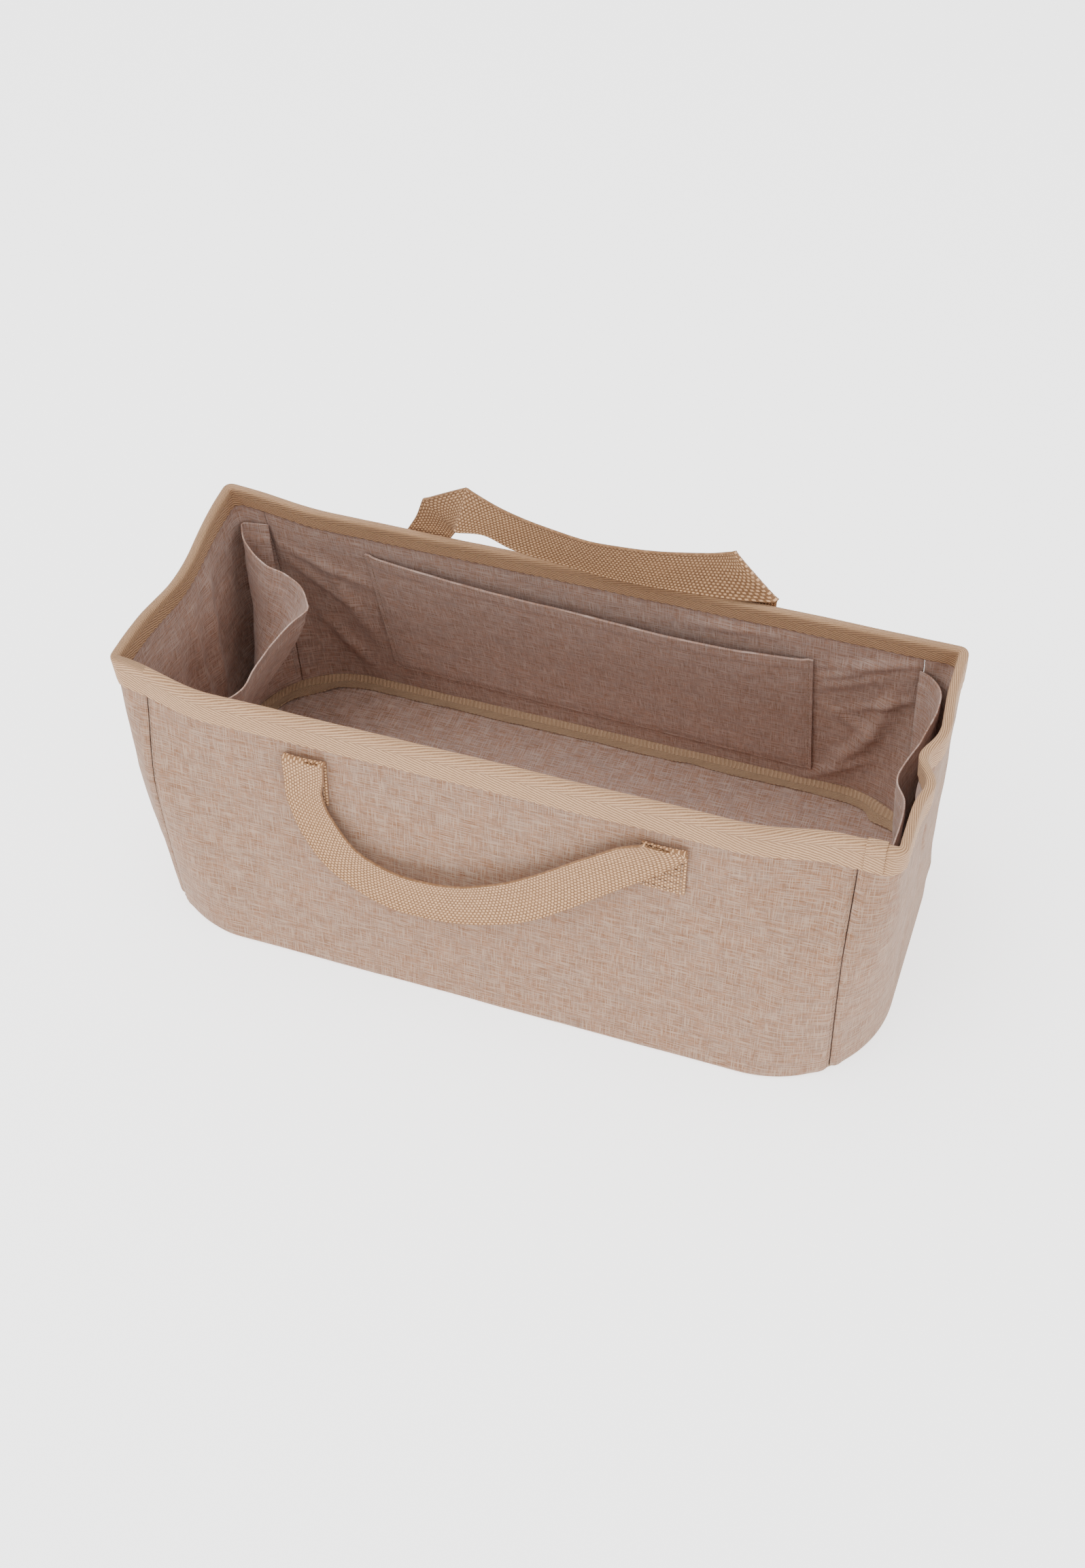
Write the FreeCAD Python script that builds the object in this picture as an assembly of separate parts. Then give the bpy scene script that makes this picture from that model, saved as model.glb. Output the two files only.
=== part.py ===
import FreeCAD, Part
import math
import os

# A long open storage bin of sewn cloth. The long walls hold stiff boards, the ends are soft and folded in the
# middle, a woven tape binds the rim and the floor seam, and a webbing handle hangs on each long wall.
# X runs along the bin, Y from front to back, Z up. The origin is the middle of the underside.

os.makedirs("parts", exist_ok=True)
Vector = FreeCAD.Vector

# Body of the bin
height = 213.0
base_length = 535.0
base_depth = 262.0
base_corner_radius = 85.0
end_lean_in = 0.5
wall_lean_in = 37.0
rim_corner_radius = 14.0
seam_from_end = 27.5
left_fold_depth = 8.0
right_fold_depth = 6.0
fold_share = 0.554
fold_width = 120.0

# Cloth, boards and tape
cloth = 1.0
wall_board = 1.6
base_board = 3.0
board_to_seam = 2.0
board_to_floor = 4.0
board_below_rim = 8.0
tape = 1.2
tape_outer_drop = 20.0
tape_inner_drop = 17.0
floor_tape_height = 12.0
floor_tape_depth = 2.6

# Pockets
back_pocket_width = 328.0
back_pocket_below_rim = 38.0
back_pocket_bottom = 36.0
back_pocket_shift = 2.0
back_pocket_slope = 1.9
back_pocket_gape = 11.0
end_pocket_below_rim = 30.0
end_pocket_foot = 23.0
# Mouth of each end pocket, from the back wall to the front wall, as the distance in from the end's face and
# the share of the half depth between the linings
left_pocket_mouth = [
    (29.0, 0.987), (16.0, 0.924), (14.0, 0.798), (29.0, 0.651), (55.0, 0.557), (79.0, 0.462),
    (89.0, 0.273), (82.0, 0.021), (78.0, -0.294), (68.0, -0.630), (49.0, -0.882), (29.0, -0.987),
]
right_pocket_mouth = [
    (29.0, 0.987), (19.0, 0.935), (13.0, 0.819), (15.0, 0.609), (20.0, 0.315), (25.0, 0.105),
    (26.0, -0.063), (20.0, -0.231), (17.0, -0.441), (17.0, -0.672), (20.0, -0.882), (29.0, -0.987),
]

# Handles
webbing_width = 30.0
webbing = 1.8
handle_spacing = 244.0
patch_below_rim = 31.0
patch_height = 34.0
front_drop = 82.0
front_bow = 6.0
back_rise = 46.0
turn_play = 1.0
# The front handle's course from left to right, as shares of the patch distance, the drop and the bow
front_course = [
    (-1.0, 0.03, 0.0), (-1.0, 0.20, 0.1), (-0.985, 0.40, 0.25), (-0.92, 0.62, 0.45), (-0.775, 0.86, 0.7),
    (-0.50, 1.0, 0.95), (-0.19, 0.99, 1.0), (0.10, 0.90, 0.95), (0.38, 0.77, 0.85), (0.68, 0.60, 0.65),
    (0.89, 0.42, 0.4), (0.982, 0.29, 0.2), (1.0, 0.17, 0.1), (1.0, 0.03, 0.0),
]
# The back handle's course beside its wall, as the share of the patch distance, the height above the fold
# and the share of the wall's lean
back_course_left = [(-1.0, 1.8, 1.0), (-0.992, 9.0, 1.0), (-0.943, 22.0, 1.0)]
back_course_right = [(1.0, 16.0, 1.0), (1.0, 1.8, 1.0)]
# The rest of its course over the rim, as the share of the patch distance, the distance in from the rim, the
# share of the rise and the lean of the face
back_course_top = [
    (-0.869, -3.8, 0.174, -4.9), (-0.730, 0.0, 0.522, 2.0), (-0.508, 4.0, 0.620, 6.0),
    (-0.221, 5.5, 0.480, 2.0), (0.082, 6.5, 0.390, -3.0), (0.410, 6.0, 0.400, 2.0),
    (0.672, 3.0, 0.500, 5.0), (0.869, 0.0, 0.450, 4.0), (0.975, -3.8, 0.100, -4.9),
]

# Thread
thread = 0.5
stitch_length = 2.6
stitch_pitch = 4.0
seam_stitch_inset = 1.5
patch_stitch_inset = 3.0
pocket_stitch_inset = 3.0

# Clearances
touch = 0.1
slack = 0.3
layer_gap = 0.2

# Where the outlines are divided: shares of the height for the lofts, and shares of a long wall's reach
loft_shares = [0.056, 0.117, 0.211, 0.352, fold_share, 0.775]
wall_marks = [0.76, 0.80, 0.84, 0.88, 0.92, 0.96, 1.0]
corner_steps = 6
middle_steps = 5

FRONT = -1.0
BACK = 1.0
LEFT = -1.0
RIGHT = 1.0

rim_length = base_length - 2 * end_lean_in
rim_depth = base_depth - 2 * wall_lean_in
fold_height = fold_share * height
seam_x = base_length / 2 - seam_from_end
wall = cloth + layer_gap + wall_board + layer_gap + cloth
floor_top = cloth + base_board + cloth
wall_top = height - tape - touch
lean = math.atan2(wall_lean_in, height)
back_pocket_height = height - back_pocket_below_rim - back_pocket_bottom
patch_top = height - patch_below_rim
patch_x = handle_spacing / 2
handle_gap = touch + webbing + turn_play


def between(low, high, z):
    """A size that runs evenly from its base value to its rim value."""
    return low + (high - low) * z / height


def half_depth(z):
    return between(base_depth, rim_depth, z) / 2


def half_length(z):
    return between(base_length, rim_length, z) / 2


def corner(z, inset):
    """Radius and centre of the rounded corner at height z."""
    radius = between(base_corner_radius, rim_corner_radius, z) - inset
    return radius, half_length(z) - inset - radius, half_depth(z) - inset - radius


def wall_y(x, z, inset):
    """Distance of a long wall from the middle plane, which falls off where the corner begins."""
    radius, middle_x, middle_y = corner(z, inset)
    past = max(0.0, abs(x) - middle_x)
    return middle_y + math.sqrt(radius * radius - past * past)


def corner_points(z, inset):
    """Points from the seam round the corner to the flat of the end."""
    radius, middle_x, middle_y = corner(z, inset)
    straight = max(0.0, middle_x - seam_x)
    start = math.asin(max(0.0, seam_x - middle_x) / radius)
    length = straight + radius * (math.pi / 2 - start)
    points = []
    for i in range(corner_steps + 1):
        along = length * i / corner_steps
        angle = start + max(0.0, along - straight) / radius
        x = middle_x + radius * math.sin(angle) if along > straight else seam_x + along
        points.append((x, middle_y + radius * math.cos(angle)))
    return points


def fold_at(end, z):
    """How far the middle of an end is folded in at height z."""
    depth = left_fold_depth if end == LEFT else right_fold_depth
    return depth * max(0.0, (z - fold_height) / (height - fold_height))


def end_points(end, z, inset):
    """Points round one end, from the front seam to the back seam, inset from the outer face."""
    back = corner_points(z, inset)
    reach, side = back[-1]
    middle = [(reach, side * i / middle_steps) for i in range(1 - middle_steps, middle_steps)]
    points = []
    for x, y in [(x, -y) for x, y in back] + middle + back[::-1]:
        bump = 0.5 + 0.5 * math.cos(math.pi * min(1.0, abs(y) / (fold_width / 2)))
        points.append(Vector(end * (x - fold_at(end, z) * bump), y, z))
    return points


def wall_points(side, z, inset, reach):
    """Points along one long wall, from left to right."""
    marks = [-m for m in reversed(wall_marks)] + wall_marks
    return [Vector(m * reach, side * wall_y(m * reach, z, inset), z) for m in marks]


def closed(points):
    """A closed wire of straight edges through the points."""
    return Part.makePolygon(points + points[:1])


def levels(low, high):
    """Heights to loft through, the same for every layer, so that layers stay parallel."""
    marks = [s * height for s in loft_shares] + [height - tape_outer_drop, height - tape_inner_drop]
    return [low] + [z for z in marks if low < z < high] + [high]


def ring(z, inset):
    """The whole outline at one height."""
    front = wall_points(FRONT, z, inset, seam_x)[1:-1]
    back = wall_points(BACK, z, inset, seam_x)[1:-1]
    right = end_points(RIGHT, z, inset)
    left = end_points(LEFT, z, inset)
    return closed(front + right + back[::-1] + left[::-1])


def block(low, high, inset):
    """Everything inside the outline, from one height to another."""
    return Part.makeLoft([ring(z, inset) for z in levels(low, high)], True, True)


def band(profile):
    """A closed band that runs all round the bin, whose section is given as (height, inset) points."""
    faces = []
    for start, end in zip(profile, profile[1:] + profile[:1]):
        rings = [ring(*start), ring(*end)]
        if start[0] == end[0]:
            faces.append(Part.makeFace(rings, "Part::FaceMakerBullseye"))
        else:
            faces += Part.makeLoft(rings, False, True).Faces
    skin = Part.makeShell(faces)
    skin.sewShape()
    solid = Part.makeSolid(skin)
    if solid.Volume < 0:
        solid.reverse()
    return solid


def wall_slab(side, outer, inner, low, high, left, right):
    """A small flat piece that lies on or in a long wall, from one inset to another."""
    x = (left + right) / 2
    corners = [
        Vector(left, side * wall_y(x, low, outer), low),
        Vector(left, side * wall_y(x, high, outer), high),
        Vector(left, side * wall_y(x, high, inner), high),
        Vector(left, side * wall_y(x, low, inner), low),
    ]
    face = Part.Face(closed(corners))
    return face.extrude(Vector(right - left, 0, 0))


def wall_sheet(side, outer, inner, low, high, reach):
    """A layer of a long wall, from one inset to another, that follows the corners at its ends."""
    sections = []
    for z in levels(low, high):
        there = wall_points(side, z, outer, reach)
        sections.append(closed(there + wall_points(side, z, inner, reach)[::-1]))
    return Part.makeLoft(sections, True, True)


def end_slab(end, outer, inner, low, high):
    """A curved piece that wraps one end between the two seams."""
    sections = []
    for z in levels(low, high):
        sections.append(closed(end_points(end, z, outer) + end_points(end, z, inner)[::-1]))
    return Part.makeLoft(sections, True, True)


def thicken(points, thickness):
    """A closed outline made of a line of points and its copy, moved sideways by the thickness."""
    moved = []
    for i, p in enumerate(points):
        along = points[min(i + 1, len(points) - 1)] - points[max(i - 1, 0)]
        across = Vector(-along.y, along.x, 0)
        across.normalize()
        moved.append(p + across * thickness)
    return closed(points + moved[::-1])


def export(name, shape):
    shape.exportStep("parts/" + name + ".step")
    print(name, "solids", len(shape.Solids), "valid", shape.isValid(), "mm3", round(shape.Volume))


def build_base():
    export("base_outer_cloth", block(0, cloth, 0))
    export("base_board", block(cloth, cloth + base_board, cloth + slack))
    export("floor_lining", block(cloth + base_board, floor_top, cloth + slack))
    low = floor_top + touch
    high = low + floor_tape_height
    near = wall + slack
    far = near + floor_tape_depth
    export("floor_seam_binding", band([(low, near), (high, near), (high, far), (low, far)]))


def build_long_wall(name, side):
    export(name + "_outer_cloth", wall_sheet(side, 0, cloth, cloth, wall_top, seam_x))
    outer = cloth + layer_gap
    inner = wall - cloth - layer_gap
    low = floor_top + board_to_floor
    reach = seam_x - board_to_seam
    export(name + "_board", wall_sheet(side, outer, inner, low, height - board_below_rim, reach))
    export(name + "_lining", wall_sheet(side, wall - cloth, wall, floor_top, wall_top, seam_x))


def build_end(name, end):
    export(name + "_end_outer_cloth", end_slab(end, 0, cloth, cloth, wall_top))
    export(name + "_end_lining", end_slab(end, wall - cloth, wall, floor_top, wall_top))


def build_rim_binding():
    """One tape folded over the rim, longer outside than inside."""
    skin = touch + tape
    roof = wall_top + touch
    outer_low = height - tape_outer_drop
    inner_low = height - tape_inner_drop
    outside = [(outer_low, -touch), (outer_low, -skin), (height, -skin)]
    inside = [(height, wall + skin), (inner_low, wall + skin), (inner_low, wall + touch)]
    export("rim_binding", band(outside + inside + [(roof, wall + touch), (roof, -touch)]))


def pocket_bow(x):
    """How much of the gape shows at x from the pocket's middle."""
    return max(0.0, math.cos(math.pi * x / back_pocket_width)) ** 0.7


def build_back_pocket():
    """A flat pocket on the back wall, sewn on three sides, whose mouth gapes."""
    high = back_pocket_bottom + back_pocket_height
    sections = []
    for z, gape in ((back_pocket_bottom, 0.0), (high, back_pocket_gape)):
        outline = []
        for lift, order in ((touch, 1), (touch + cloth, -1)):
            for i in range(-8, 9):
                x = order * i * back_pocket_width / 16
                outline.append(Vector(x, half_depth(z) - wall - lift - gape * pocket_bow(x), z))
        sections.append(closed(outline))
    pocket = Part.makeLoft(sections, True, True)
    turn_back_pocket(pocket)
    export("back_pocket", pocket)


def turn_back_pocket(shape):
    """Slopes a piece a little in the back wall's own plane, about the pocket's middle."""
    z = back_pocket_bottom + back_pocket_height / 2
    normal = Vector(0, math.cos(lean), math.sin(lean))
    shape.rotate(Vector(0, half_depth(z), z), normal, back_pocket_slope)
    shape.translate(Vector(back_pocket_shift, 0, 0))


def build_end_pocket(name, end, mouth):
    """A sheet that spans one end from wall to wall and stands away from it at the mouth."""
    low = end_pocket_foot
    high = height - end_pocket_below_rim
    foot = end_points(end, low, wall + slack + floor_tape_depth + cloth)[::-2]
    side = half_depth(high) - wall
    top = [Vector(end * (half_length(high) - x), y * side, high) for x, y in mouth]
    sections = [thicken(foot, -end * cloth), thicken(top, -end * cloth)]
    export(name + "_end_pocket", Part.makeLoft(sections, True, True))


def smooth(stations, steps):
    """More stations between the given ones, on a curve that passes through them all."""
    out = []
    ends = [stations[0]] + stations + [stations[-1]]
    for i in range(1, len(ends) - 2):
        p0, p1, p2, p3 = ends[i - 1 : i + 3]
        for k in range(steps):
            t = k / steps
            weights = (
                -0.5 * t + t * t - 0.5 * t ** 3,
                1 - 2.5 * t * t + 1.5 * t ** 3,
                0.5 * t + 2 * t * t - 1.5 * t ** 3,
                -0.5 * t * t + 0.5 * t ** 3,
            )
            out.append(tuple(sum(w * p[n] for w, p in zip(weights, (p0, p1, p2, p3))) for n in range(4)))
    return out + [stations[-1]]


def strap(stations):
    """A flat strap along stations of x, y, z and the lean of its face in degrees."""
    path = smooth(stations, 4)
    sections = []
    for i, (x, y, z, face) in enumerate(path):
        before = path[max(i - 1, 0)]
        after = path[min(i + 1, len(path) - 1)]
        along = Vector(*after[:3]) - Vector(*before[:3])
        normal = Vector(0, math.cos(math.radians(face)), -math.sin(math.radians(face)))
        across = along.cross(normal)
        across.normalize()
        normal = across.cross(along)
        normal.normalize()
        half = across * webbing_width / 2
        deep = normal * webbing / 2
        middle = Vector(x, y, z)
        corners = [middle - half - deep, middle + half - deep, middle + half + deep, middle - half + deep]
        sections.append(closed(corners))
    return Part.makeLoft(sections, True, True)


def build_patches(name, side):
    """The sewn ends of one handle, with the thread that holds them."""
    low = patch_top - patch_height
    half = webbing_width / 2
    for end_name, end in (("left", LEFT), ("right", RIGHT)):
        x = end * patch_x
        patch = wall_slab(side, -touch - webbing, -touch, low, patch_top, x - half, x + half)
        export(name + "_handle_" + end_name + "_end", patch)
        lift = touch + webbing + touch
        rows = []
        inner = half - patch_stitch_inset
        for z in (low + patch_stitch_inset, patch_top - patch_stitch_inset - thread):
            rows += across_row(side, lift, z, x - inner, x + inner)
        for sx in (x - inner, x + inner):
            top = patch_top - patch_stitch_inset - stitch_pitch
            rows += upright_row(side, lift, sx, low + stitch_pitch + thread, top)
        export(name + "_handle_" + end_name + "_stitching", Part.Compound(rows))


def across_row(side, lift, z, left, right):
    """A level row of stitches that lie on a long wall."""
    count = int((right - left) / stitch_pitch)
    out = []
    for i in range(count):
        x = left + (i + 0.5) * (right - left) / count - stitch_length / 2
        out.append(wall_slab(side, -lift - thread, -lift, z, z + thread, x, x + stitch_length))
    return out


def upright_row(side, lift, x, low, high):
    """An upright row of stitches that lie on a long wall."""
    count = int((high - low) / stitch_pitch)
    out = []
    for i in range(count):
        z = low + (i + 0.5) * (high - low) / count - stitch_length / 2
        top = z + stitch_length
        out.append(wall_slab(side, -lift - thread, -lift, z, top, x - thread / 2, x + thread / 2))
    return out


def build_seam_stitching(name, side):
    """The two upright rows that close the board's pocket at each end of a long wall."""
    for end_name, end in (("left", LEFT), ("right", RIGHT)):
        x = end * (seam_x - seam_stitch_inset)
        low = floor_top
        high = height - tape_outer_drop - stitch_pitch
        rows = upright_row(side, slack, x, low, high)
        export(name + "_" + end_name + "_seam_stitching", Part.Compound(rows))


def build_back_pocket_stitching():
    """Thread along the pocket's two sides and its foot."""
    half = back_pocket_width / 2 - pocket_stitch_inset
    low = back_pocket_bottom + pocket_stitch_inset
    high = back_pocket_bottom + back_pocket_height - pocket_stitch_inset
    rows = []
    for x in (-half, half):
        count = int((high - low) / stitch_pitch)
        for i in range(count):
            z = low + i * stitch_pitch
            rows.append(pocket_stitch(x, z, thread, stitch_length))
    for i in range(1, int(2 * half / stitch_pitch)):
        rows.append(pocket_stitch(-half + i * stitch_pitch, low, stitch_length, thread))
    stitching = Part.Compound(rows)
    turn_back_pocket(stitching)
    export("back_pocket_stitching", stitching)


def pocket_stitch(x, z, wide, tall):
    """One stitch on the pocket, which stands out from the wall towards its mouth and its middle."""
    up = (z - back_pocket_bottom) / back_pocket_height
    lift = wall + touch + cloth + slack + back_pocket_gape * up * pocket_bow(x)
    return wall_slab(BACK, lift, lift + thread, z, z + tall, x - wide / 2, x + wide / 2)


def build_front_handle():
    """A strap that hangs in a wide U in front of the front wall."""
    stations = []
    for x, drop, bow in front_course:
        z = patch_top - drop * front_drop * math.cos(lean)
        y = half_depth(z) + handle_gap + webbing / 2 + bow * front_bow
        stations.append((x * patch_x, FRONT * y, z, 180.0 + math.degrees(lean)))
    export("front_handle", strap(stations))


def beside_wall(share, rise, tilt):
    """A station of the back handle that stands beside the back wall."""
    y = half_depth(patch_top + rise) + handle_gap + webbing / 2
    return share * patch_x, y, patch_top + rise, -math.degrees(lean) * tilt


def build_back_handle():
    """A strap that stands up behind the back wall and leans in over the rim."""
    stations = [beside_wall(*row) for row in back_course_left]
    for share, y, rise, face in back_course_top:
        stations.append((share * patch_x, rim_depth / 2 - y, height + rise * back_rise, face))
    stations += [beside_wall(*row) for row in back_course_right]
    export("back_handle", strap(stations))


build_base()
for wall_name, wall_side in (("front", FRONT), ("back", BACK)):
    build_long_wall(wall_name, wall_side)
    build_patches(wall_name, wall_side)
    build_seam_stitching(wall_name, wall_side)
for end_name, end_side in (("left", LEFT), ("right", RIGHT)):
    build_end(end_name, end_side)
build_end_pocket("left", LEFT, left_pocket_mouth)
build_end_pocket("right", RIGHT, right_pocket_mouth)
build_rim_binding()
build_back_pocket()
build_back_pocket_stitching()
build_front_handle()
build_back_handle()
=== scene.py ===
import logging
import math
from dataclasses import dataclass, field
from enum import Enum
from typing import Callable, List, Optional, Sequence, Tuple

import bmesh
import bpy
import numpy as np
from mathutils import Matrix, Vector, noise


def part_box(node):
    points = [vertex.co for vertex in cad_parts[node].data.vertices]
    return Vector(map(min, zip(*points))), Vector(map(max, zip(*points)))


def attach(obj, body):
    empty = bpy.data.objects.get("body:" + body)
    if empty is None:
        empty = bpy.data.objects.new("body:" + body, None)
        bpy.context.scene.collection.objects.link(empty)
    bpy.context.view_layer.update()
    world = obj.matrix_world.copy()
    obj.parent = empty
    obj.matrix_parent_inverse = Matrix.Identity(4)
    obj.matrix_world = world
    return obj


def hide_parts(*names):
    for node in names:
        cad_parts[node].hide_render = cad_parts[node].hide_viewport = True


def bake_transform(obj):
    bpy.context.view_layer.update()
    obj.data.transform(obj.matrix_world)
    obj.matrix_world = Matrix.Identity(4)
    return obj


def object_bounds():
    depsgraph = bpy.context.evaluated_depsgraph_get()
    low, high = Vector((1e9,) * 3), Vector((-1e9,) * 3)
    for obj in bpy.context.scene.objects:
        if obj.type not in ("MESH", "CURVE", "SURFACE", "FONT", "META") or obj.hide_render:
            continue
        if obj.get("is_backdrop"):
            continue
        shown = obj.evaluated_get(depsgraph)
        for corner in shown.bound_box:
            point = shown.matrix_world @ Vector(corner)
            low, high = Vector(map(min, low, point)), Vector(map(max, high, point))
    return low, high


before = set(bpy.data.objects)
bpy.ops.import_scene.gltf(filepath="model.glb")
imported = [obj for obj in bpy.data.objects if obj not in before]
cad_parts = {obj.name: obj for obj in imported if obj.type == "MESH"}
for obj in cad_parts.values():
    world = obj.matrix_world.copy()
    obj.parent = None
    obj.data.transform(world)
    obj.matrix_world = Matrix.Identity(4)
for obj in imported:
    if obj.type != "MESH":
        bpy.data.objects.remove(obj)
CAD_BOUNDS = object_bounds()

log = logging.getLogger("storage_bin")

MM = 0.001
UV_NAME = "ClothUV"
FIBRE_SPECULAR = 0.25
FIBRE_SHEEN_ROUGHNESS = 0.5
Point = Tuple[float, float, float]


class Side(Enum):
    """A long wall of the bin; the value is the sign of its y."""

    FRONT = -1.0
    BACK = 1.0


class End(Enum):
    """A short end of the bin; the value is the sign of its x."""

    LEFT = -1.0
    RIGHT = 1.0


class Shade(Enum):
    """Painted shade: a factor that darkens a cloth's colours by how much light reaches it in use, lower for
    cloth inside the bin.
    """

    OUTSIDE = 1.0
    INSIDE = 0.97


def smooth(value: float) -> float:
    """Eases a share between 0 and 1.

    Args:
        value: The share, which may lie outside 0 to 1.

    Returns:
        The eased share.
    """
    t = min(1.0, max(0.0, value))
    return t * t * (3.0 - 2.0 * t)


def bell(distance: float, width: float) -> float:
    """A soft bump.

    Args:
        distance: How far from the bump's middle.
        width: The bump's half width.

    Returns:
        1 at the middle, falling to 0.
    """
    return math.exp(-((distance / width) ** 2))


def samples(low: float, high: float, step: float, lip: float = 0.5) -> List[float]:
    """Evenly spaced values with one more close to each end, which keeps a cloth's edge crisp.

    Args:
        low: The first value.
        high: The last value.
        step: The largest spacing.
        lip: How close to the ends the extra values are.

    Returns:
        The values in order.
    """
    count = max(2, math.ceil((high - low - 2 * lip) / step))
    inner = [low + lip + (high - low - 2 * lip) * i / count for i in range(count + 1)]
    return [low] + inner + [high]


def catmull(points: Sequence[Sequence[float]], steps: int) -> List[Tuple[float, ...]]:
    """A smooth line through given points.

    Args:
        points: The points, each a row of numbers.
        steps: How many points to make of each span.

    Returns:
        The points of the line.
    """
    ends = [points[0], *points, points[-1]]
    line: List[Tuple[float, ...]] = []
    for i in range(1, len(ends) - 2):
        p0, p1, p2, p3 = (np.array(p, float) for p in ends[i - 1 : i + 3])
        for k in range(steps):
            t = k / steps
            point = 0.5 * (
                2 * p1
                + (p2 - p0) * t
                + (2 * p0 - 5 * p1 + 4 * p2 - p3) * t**2
                + (3 * p1 - p0 - 3 * p2 + p3) * t**3
            )
            line.append(tuple(point))
    line.append(tuple(float(v) for v in points[-1]))
    return line


@dataclass(frozen=True)
class Crease:
    """A soft fold in a cloth, given on its flat pattern in millimetres."""

    u: float
    v: float
    angle: float
    length: float
    width: float
    lift: float

    def at(self, u: float, v: float) -> float:
        """How far the crease lifts the cloth.

        Args:
            u: Place along the cloth.
            v: Place up the cloth.

        Returns:
            The lift in millimetres.
        """
        turn = math.radians(self.angle)
        du, dv = u - self.u, v - self.v
        along = du * math.cos(turn) + dv * math.sin(turn)
        across = -du * math.sin(turn) + dv * math.cos(turn)
        return self.lift * bell(along, self.length) * bell(across, self.width)


@dataclass(frozen=True)
class BinForm:
    """The outline that all the cloth follows, in millimetres."""

    height: float
    base_length: float
    base_depth: float
    seam_x: float
    base_corner: float = 85.0
    rim_corner: float = 5.0
    least_corner: float = 0.8
    wall_lean_in: float = 37.0
    end_lean_in: float = 0.5
    left_fold: float = 8.0
    right_fold: float = 6.0
    fold_share: float = 0.554
    fold_width: float = 60.0
    wall: float = 4.0
    floor_top: float = 5.0

    @classmethod
    def from_cad(cls) -> "BinForm":
        """Reads the overall sizes from the frame.

        Returns:
            The form.
        """
        low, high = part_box("base_outer_cloth")
        rim_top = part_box("rim_binding")[1].z
        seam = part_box("front_outer_cloth")[1].x
        return cls(rim_top / MM, (high.x - low.x) / MM, (high.y - low.y) / MM, seam / MM)

    @property
    def lean(self) -> float:
        """Lean of the long walls from upright, in radians."""
        return math.atan2(self.wall_lean_in, self.height)

    def half_depth(self, z: float) -> float:
        """Half of the outside depth at a height.

        Args:
            z: The height.

        Returns:
            The half depth.
        """
        return self.base_depth / 2 - self.wall_lean_in * z / self.height

    def half_length(self, z: float) -> float:
        """Half of the outside length at a height.

        Args:
            z: The height.

        Returns:
            The half length.
        """
        return self.base_length / 2 - self.end_lean_in * z / self.height

    def corner(self, z: float, inset: float) -> Point:
        """The rounded corner at a height.

        Args:
            z: The height.
            inset: Distance in from the outer face.

        Returns:
            Its radius, and the x and y of its centre.
        """
        share = z / self.height
        grown = self.base_corner + (self.rim_corner - self.base_corner) * share
        radius = max(self.least_corner, grown - inset)
        return radius, self.half_length(z) - inset - radius, self.half_depth(z) - inset - radius

    def wall_point(self, side: Side, x: float, z: float, inset: float) -> Point:
        """A point on a long wall.

        Args:
            side: Which wall.
            x: Place along it.
            z: The height.
            inset: Distance in from the outer face.

        Returns:
            The point.
        """
        radius, middle_x, middle_y = self.corner(z, inset)
        past = min(radius, max(0.0, abs(x) - middle_x))
        return x, side.value * (middle_y + math.sqrt(radius * radius - past * past)), z

    def end_reach(self, z: float, inset: float) -> float:
        """Length of cloth from the middle of an end to a seam.

        Args:
            z: The height.
            inset: Distance in from the outer face.

        Returns:
            The length.
        """
        radius, middle_x, middle_y = self.corner(z, inset)
        start = math.asin(max(0.0, self.seam_x - middle_x) / radius)
        return middle_y + radius * (math.pi / 2 - start) + max(0.0, middle_x - self.seam_x)

    def fold(self, end: End, y: float, z: float) -> float:
        """How far an end is folded inwards.

        Args:
            end: Which end.
            y: Place across the end.
            z: The height.

        Returns:
            The distance inwards.
        """
        rise = max(0.0, (z / self.height - self.fold_share) / (1.0 - self.fold_share))
        if end is End.LEFT:
            return rise * self.left_fold * bell(y - 5.0, 42.0)
        inward = self.right_fold * bell(y + 4.0, 13.0)
        inward = inward - 3.0 * bell(y - 24.0, 20.0) - 4.0 * bell(y + 29.0, 15.0)
        return rise * inward

    def end_point(self, end: End, share: float, z: float, inset: float) -> Point:
        """A point on an end.

        Args:
            end: Which end.
            share: From -1 at the front seam to 1 at the back seam.
            z: The height.
            inset: Distance in from the outer face.

        Returns:
            The point.
        """
        radius, middle_x, middle_y = self.corner(z, inset)
        along = abs(share) * self.end_reach(z, inset)
        x, y = self.half_length(z) - inset, along
        if along > middle_y:
            start = math.asin(max(0.0, self.seam_x - middle_x) / radius)
            turn = (along - middle_y) / radius
            x, y = middle_x + radius * math.cos(turn), middle_y + radius * math.sin(turn)
            over = turn - (math.pi / 2 - start)
            if over > 0.0 and middle_x > self.seam_x:
                x, y = middle_x - over * radius, middle_y + radius
        y = math.copysign(y, share)
        return end.value * (x - self.fold(end, y, z)), y, z


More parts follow.
